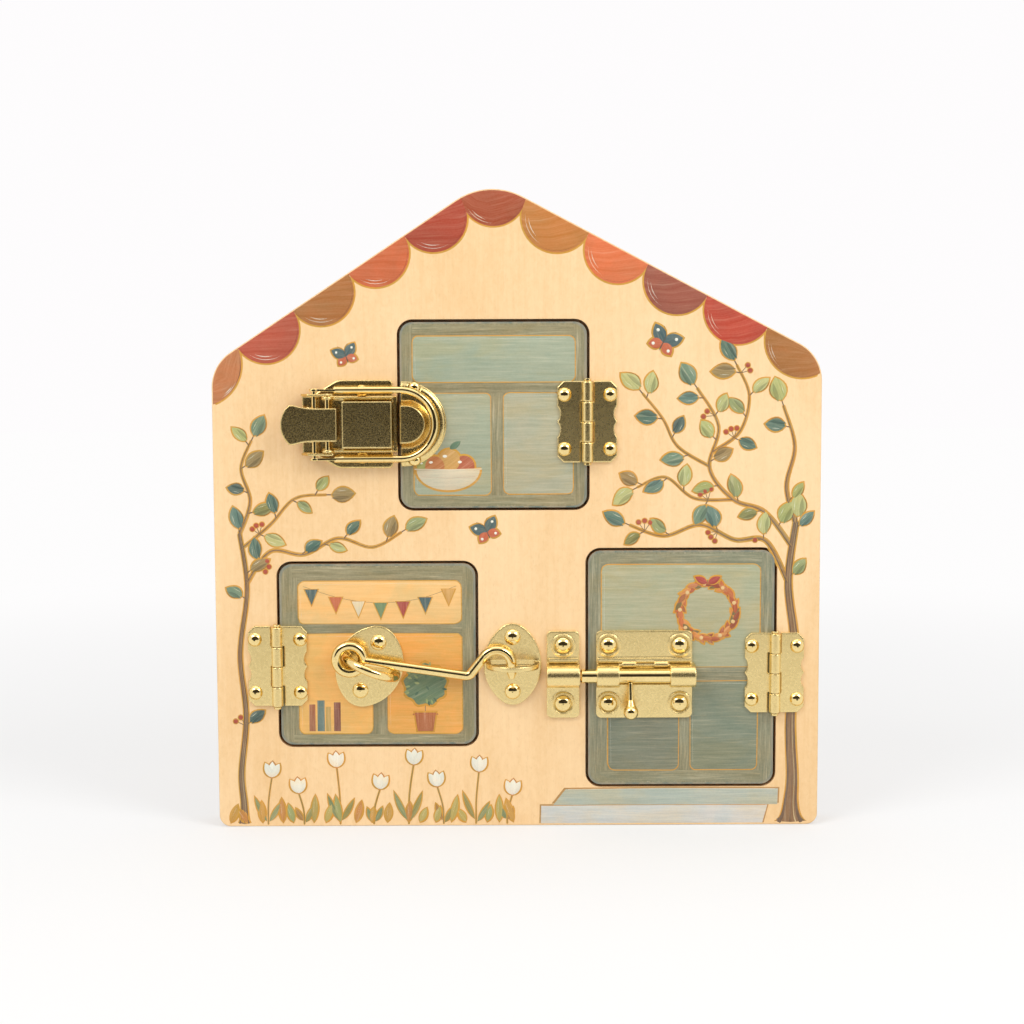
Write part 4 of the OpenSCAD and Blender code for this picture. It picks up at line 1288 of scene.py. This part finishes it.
@dataclass(kw_only=True)
class FrontDoor(DoorPicture):
    """The lower right door, with a russet wreath over two sunk panels."""

    name: str = "right_door_picture"
    body: str = "right_door"
    seed: int = 21
    span: Box = (28.8, 101.2, 17.3, 110.1)
    panes: tuple[Pane, ...] = (
        (33.4, 96.4, 64.0, 105.2, "B1AF8D"), (36.0, 64.2, 22.4, 58.0, "7B806C"),
        (68.8, 95.6, 22.4, 58.4, "7E8772"))
    frame: str = "87866A"
    centre: Point = (75.5, 86.6)
    radius: float = 11.0
    leaves: int = 22
    berries: int = 9
    rings: tuple[tuple[float, float, float, float], ...] = (
        (2.6, 5.2, 0, 0.25), (-2.4, 4.4, 0.33, 0.28), (0.2, 4.8, 0.66, 0.31))
    russets: tuple[str, ...] = (
        "B4552A", "C96A34", "9B4526", "D98B45", "7E6A3C", "A95F33", "C77B4A")

    def motif(self) -> None:
        """Paint the wreath in three rings of leaves, with pale berries and a bow."""
        centre, r = self.centre, self.radius
        ring = arc_points(centre, (r, r), 0, 360, 41)[:-1]
        self.stroke(ring, 5.0, "8A4A2A", 0.22, 0.3, loop=True)
        for off, size, start, lift in self.rings:
            for k in range(self.leaves):
                a = 360 * (k + start) / self.leaves
                root = polar(centre, a, r + off * 0.5)
                way = a + 90 + off * 16 + self.dice.uniform(-14, 14)
                self.leaf(root, way, size + 0.7, 2.9, OCHRE, lift)
                self.leaf(root, way, size, 2.2, self.dice.choice(self.russets), lift + 0.05, 0.3,
                          0.15)
        for k in range(self.berries):
            spot = polar(centre, math.degrees(math.tau * k / self.berries + 0.3), r)
            self.dot(spot, 1.0, "E6C38A", 0.40, 0.2, 0.3, 11)
        for side in (-1, 1):
            knot, way = (centre[0], centre[1] + r), 90 - side * 62
            self.leaf(knot, way, 6.6, 3.8, OCHRE, 0.40)
            self.leaf(knot, way, 5.9, 3.0, "B23A34", 0.45, 0.3, 0.2)


# ---- whole model


@dataclass
class Dressing:
    """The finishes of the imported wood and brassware, each with its pieces' name endings."""

    finishes: tuple[tuple[Finish, tuple[str, ...]], ...] = (
        (SheetWood("birch_front", "FBD9A9", "EDC48C", -9.0, 0.0), ("front_panel",)),
        (SheetWood("birch_back", "F3D2A6", "DFB486", 0.0, 9.0), ("back_panel",)),
        (SheetWood("birch_door", "F3D0A0", "DDB180", -9.0, -0.3, "A59A80", "6E7B72"), ("_door",)),
        (Brass("brass_satin", Polish.SATIN, edge=0.0009, grain=0.32, wear=0.10),
         ("_leaf", "_plate", "hook_catch", "bolt_keep")),
        (Brass("brass_bright", Polish.BRIGHT, edge=0.0010, grain=0.8, wear=0.45),
         ("latch_base", "latch_lever", "latch_keeper")),
        (Brass("brass_mirror", Polish.MIRROR),
         ("_rivets", "_pin", "latch_bail", "hook_staple", "cabin_hook", "bolt_rod", "bolt_stem",
          "bolt_knob")))

    def dress(self) -> None:
        """Put each finish on every slot of its pieces."""
        for finish, endings in self.finishes:
            material = finish.build()
            for name, piece in frame["nodes"].items():
                if not name.endswith(endings):
                    continue
                if not piece.data.materials:
                    piece.data.materials.append(material)
                for slot in piece.material_slots:
                    slot.material = material
                LOG.info("%s: %s", name, finish.name)


@dataclass(frozen=True)
class FloorWhite(Finish):
    """Matt white that fades into the white background."""

    matt: Colour = (0.85, 0.86, 0.87)
    glow: Colour = (0.988, 0.98, 0.98)
    fade: Point = (0.14, 0.80)
    least: float = 0.45

    def draw(self, g: Graph) -> None:
        """Mix a matt white with the background's light.

        Args:
            g: The material's graph.
        """
        x, y, _ = g.axes(g.place())
        camera, mirrored = g.rays()
        reach = (x * x + y * y).calc("SQRT").ramp(*self.fade)
        fade = reach * (1 - self.least) + self.least
        matt = g.node("ShaderNodeBsdfDiffuse", None, {"Color": self.matt})
        glow = g.node("ShaderNodeEmission", None, {"Color": self.glow, "Strength": 1.0})
        g.end(g.node("ShaderNodeMixShader", None, [fade * camera + mirrored, matt, glow]))


@dataclass(frozen=True)
class FlagDark(Finish):
    """Dark cloth."""

    cloth: Colour = (0.03, 0.026, 0.02)
    dullness: float = 0.9

    def draw(self, g: Graph) -> None:
        """Make it dark and dull."""
        g.surface(Base_Color=self.cloth, Roughness=self.dullness)


@dataclass
class Studio:
    """A pale floor, soft lamps and the camera, in metres."""

    target: Point = (-0.00208, 0.1264)
    distance: float = 0.712
    elevation: float = 5.2
    roll: float = -0.23
    lens: float = 63.25
    sensor: float = 36.0
    clip: Point = (0.01, 50.0)
    aim: float = 0.12
    floor_size: Point = (7.0, 7.0)
    floor_drop: float = 0.0002
    flag_size: Point = (1.3, 0.52)
    flag_at: Triple = (0, -0.56, 0.30)
    lamp_colour: Colour = (1.0, 0.985, 0.96)
    sky: Colour = (1, 0.99, 0.975)
    sky_strength: float = 0.56
    shown: Colour = (0.988, 0.974, 0.98)
    lamps: tuple[tuple[str, Triple, float, float], ...] = (
        ("lamp_left", (-0.62, -0.66, 0.86), 0.55, 4.6),
        ("lamp_right", (0.70, -0.60, 0.78), 0.50, 4.7),
        ("lamp_top", (0.0, 0.05, 1.15), 0.90, 2.8))

    def build(self) -> None:
        """Set up the camera, the floor, a cloth that the metal mirrors, the world and lamps."""
        self._camera()
        self._sheet("studio_floor", self.floor_size, Matrix.Translation((0, 0, -self.floor_drop)),
                    FloorWhite("floor_white"))
        upright = Matrix.Translation(self.flag_at) @ Matrix.Rotation(math.radians(90), 4, "X")
        flag = self._sheet("studio_flag", self.flag_size, upright, FlagDark("flag_dark"))
        flag.visible_camera = flag.visible_diffuse = flag.visible_shadow = False
        self._world()
        self._hang_lamps()
        bpy.context.scene.view_settings.view_transform = "Standard"

    def _camera(self) -> None:
        """Stand the camera in front and a little above."""
        e = math.radians(self.elevation)
        camera = bpy.data.cameras.new("camera")
        camera.lens, camera.sensor_width = self.lens, self.sensor
        camera.clip_start, camera.clip_end = self.clip
        stand = bpy.data.objects.new("camera", camera)
        target = Vector((self.target[0], FACE_Y * MM, self.target[1]))
        stand.matrix_world = (
            Matrix.Translation(target + Vector((0, -math.cos(e), math.sin(e))) * self.distance)
            @ Matrix.Rotation(math.radians(90) - e, 4, "X")
            @ Matrix.Rotation(math.radians(self.roll), 4, "Z"))
        bpy.context.scene.collection.objects.link(stand)
        bpy.context.scene.camera = stand

    def _sheet(self, name: str, size: Point, place: Matrix, finish: Finish) -> bpy.types.Object:
        """Make a flat stage piece.

        Args:
            name: Its name.
            size: Its width and depth.
            place: Where it lies.
            finish: Its finish.

        Returns:
            The piece.
        """
        bm = bmesh.new()
        bmesh.ops.create_grid(bm, x_segments=1, y_segments=1, size=1.0)
        bmesh.ops.scale(bm, vec=(size[0] / 2, size[1] / 2, 1), verts=bm.verts)
        bmesh.ops.transform(bm, matrix=place, verts=bm.verts)
        piece = link_mesh(name, bm, finish.build())
        return piece

    def _world(self) -> None:
        """Light the room evenly and show it white."""
        world = bpy.data.worlds.new("studio_world")
        world.use_nodes = True
        bpy.context.scene.world = world
        g = Graph(world.node_tree)
        camera, mirrored = g.rays()
        soft, shown = (g.node("ShaderNodeBackground", None, {"Color": colour, "Strength": strength})
                       for colour, strength in ((self.sky, self.sky_strength), (self.shown, 1.0)))
        g.end(g.node("ShaderNodeMixShader", None, [camera + mirrored, soft, shown]),
              "ShaderNodeOutputWorld")

    def _hang_lamps(self) -> None:
        """Hang soft square lamps that point at the house."""
        for name, place, size, power in self.lamps:
            light = bpy.data.lights.new(name, "AREA")
            light.shape, light.size, light.energy = "SQUARE", size, power
            light.color = self.lamp_colour
            lamp = bpy.data.objects.new(name, light)
            way = Vector((0, 0, self.aim)) - Vector(place)
            lamp.matrix_world = (Matrix.Translation(place)
                                 @ way.to_track_quat("-Z", "Y").to_matrix().to_4x4())
            bpy.context.scene.collection.objects.link(lamp)


RIGHT_STEMS = (
    Stem(((109.4, 1.3), (109.4, 9), (109.9, 20), (109.0, 42), (110.4, 72), (107.6, 98),
          (110.4, 122)), 7.4, 3.0, 9.0),
    Stem(((110.4, 121), (106.5, 136), (109.6, 152), (105.0, 168)), 2.6, 0.8),
    Stem(((107.4, 98), (98.5, 114.5), (86, 115.0), (72.5, 121.0), (58, 116.6), (44.5, 121.0)),
         2.3, 0.7),
    Stem(((109.0, 112), (98, 126), (85.5, 131), (76, 143.5), (79.5, 160), (71.0, 175)), 2.3, 0.7),
    Stem(((85.5, 131), (70, 131.6), (58.5, 140), (47.5, 136)), 1.3, 0.5),
    Stem(((77.4, 150), (88, 158), (91.5, 172), (86.5, 184)), 1.3, 0.5),
    Stem(((76.3, 144), (63.5, 152), (57.5, 163), (49.5, 173)), 1.2, 0.5))
LEFT_STEMS = (
    Stem(((-110.0, 1.3), (-110.0, 9), (-110.8, 22), (-108.6, 45), (-110.6, 70), (-107.4, 96),
          (-110.0, 118)), 3.4, 1.8, 3.0),
    Stem(((-110.0, 118), (-105.6, 131), (-109.0, 144), (-104.8, 155)), 1.7, 0.6),
    Stem(((-107.6, 98), (-98, 111), (-84.5, 109.8), (-71, 116.2), (-57.5, 112.6), (-46.0, 118.5)),
         1.7, 0.5),
    Stem(((-109.6, 112), (-98, 121.5), (-88, 132), (-75.5, 133.5)), 1.3, 0.5))


def main() -> None:
    """Dress the house, paint its front and set up the studio."""
    logging.basicConfig(level=logging.INFO, format="%(message)s")
    Studio().build()
    LOG.info("studio ready")
    Dressing().dress()
    paint = RaisedPaint("raised_paint").build()
    RoofTrim(material=paint).build()
    LeafyVine(material=paint, name="vine_right", stems=RIGHT_STEMS, length=8.6, width=5.5, seed=5,
              bare=(90, 116, 40, 84)).build()
    LeafyVine(material=paint, name="vine_left", stems=LEFT_STEMS, length=8.2, width=5.1, seed=9,
              bare=(-114, -84, 42, 86)).build()
    for piece in (Meadow, Butterflies, FruitWindow, ParlourWindow, FrontDoor):
        piece(material=paint).build()


if __name__ == "__main__":
    main()
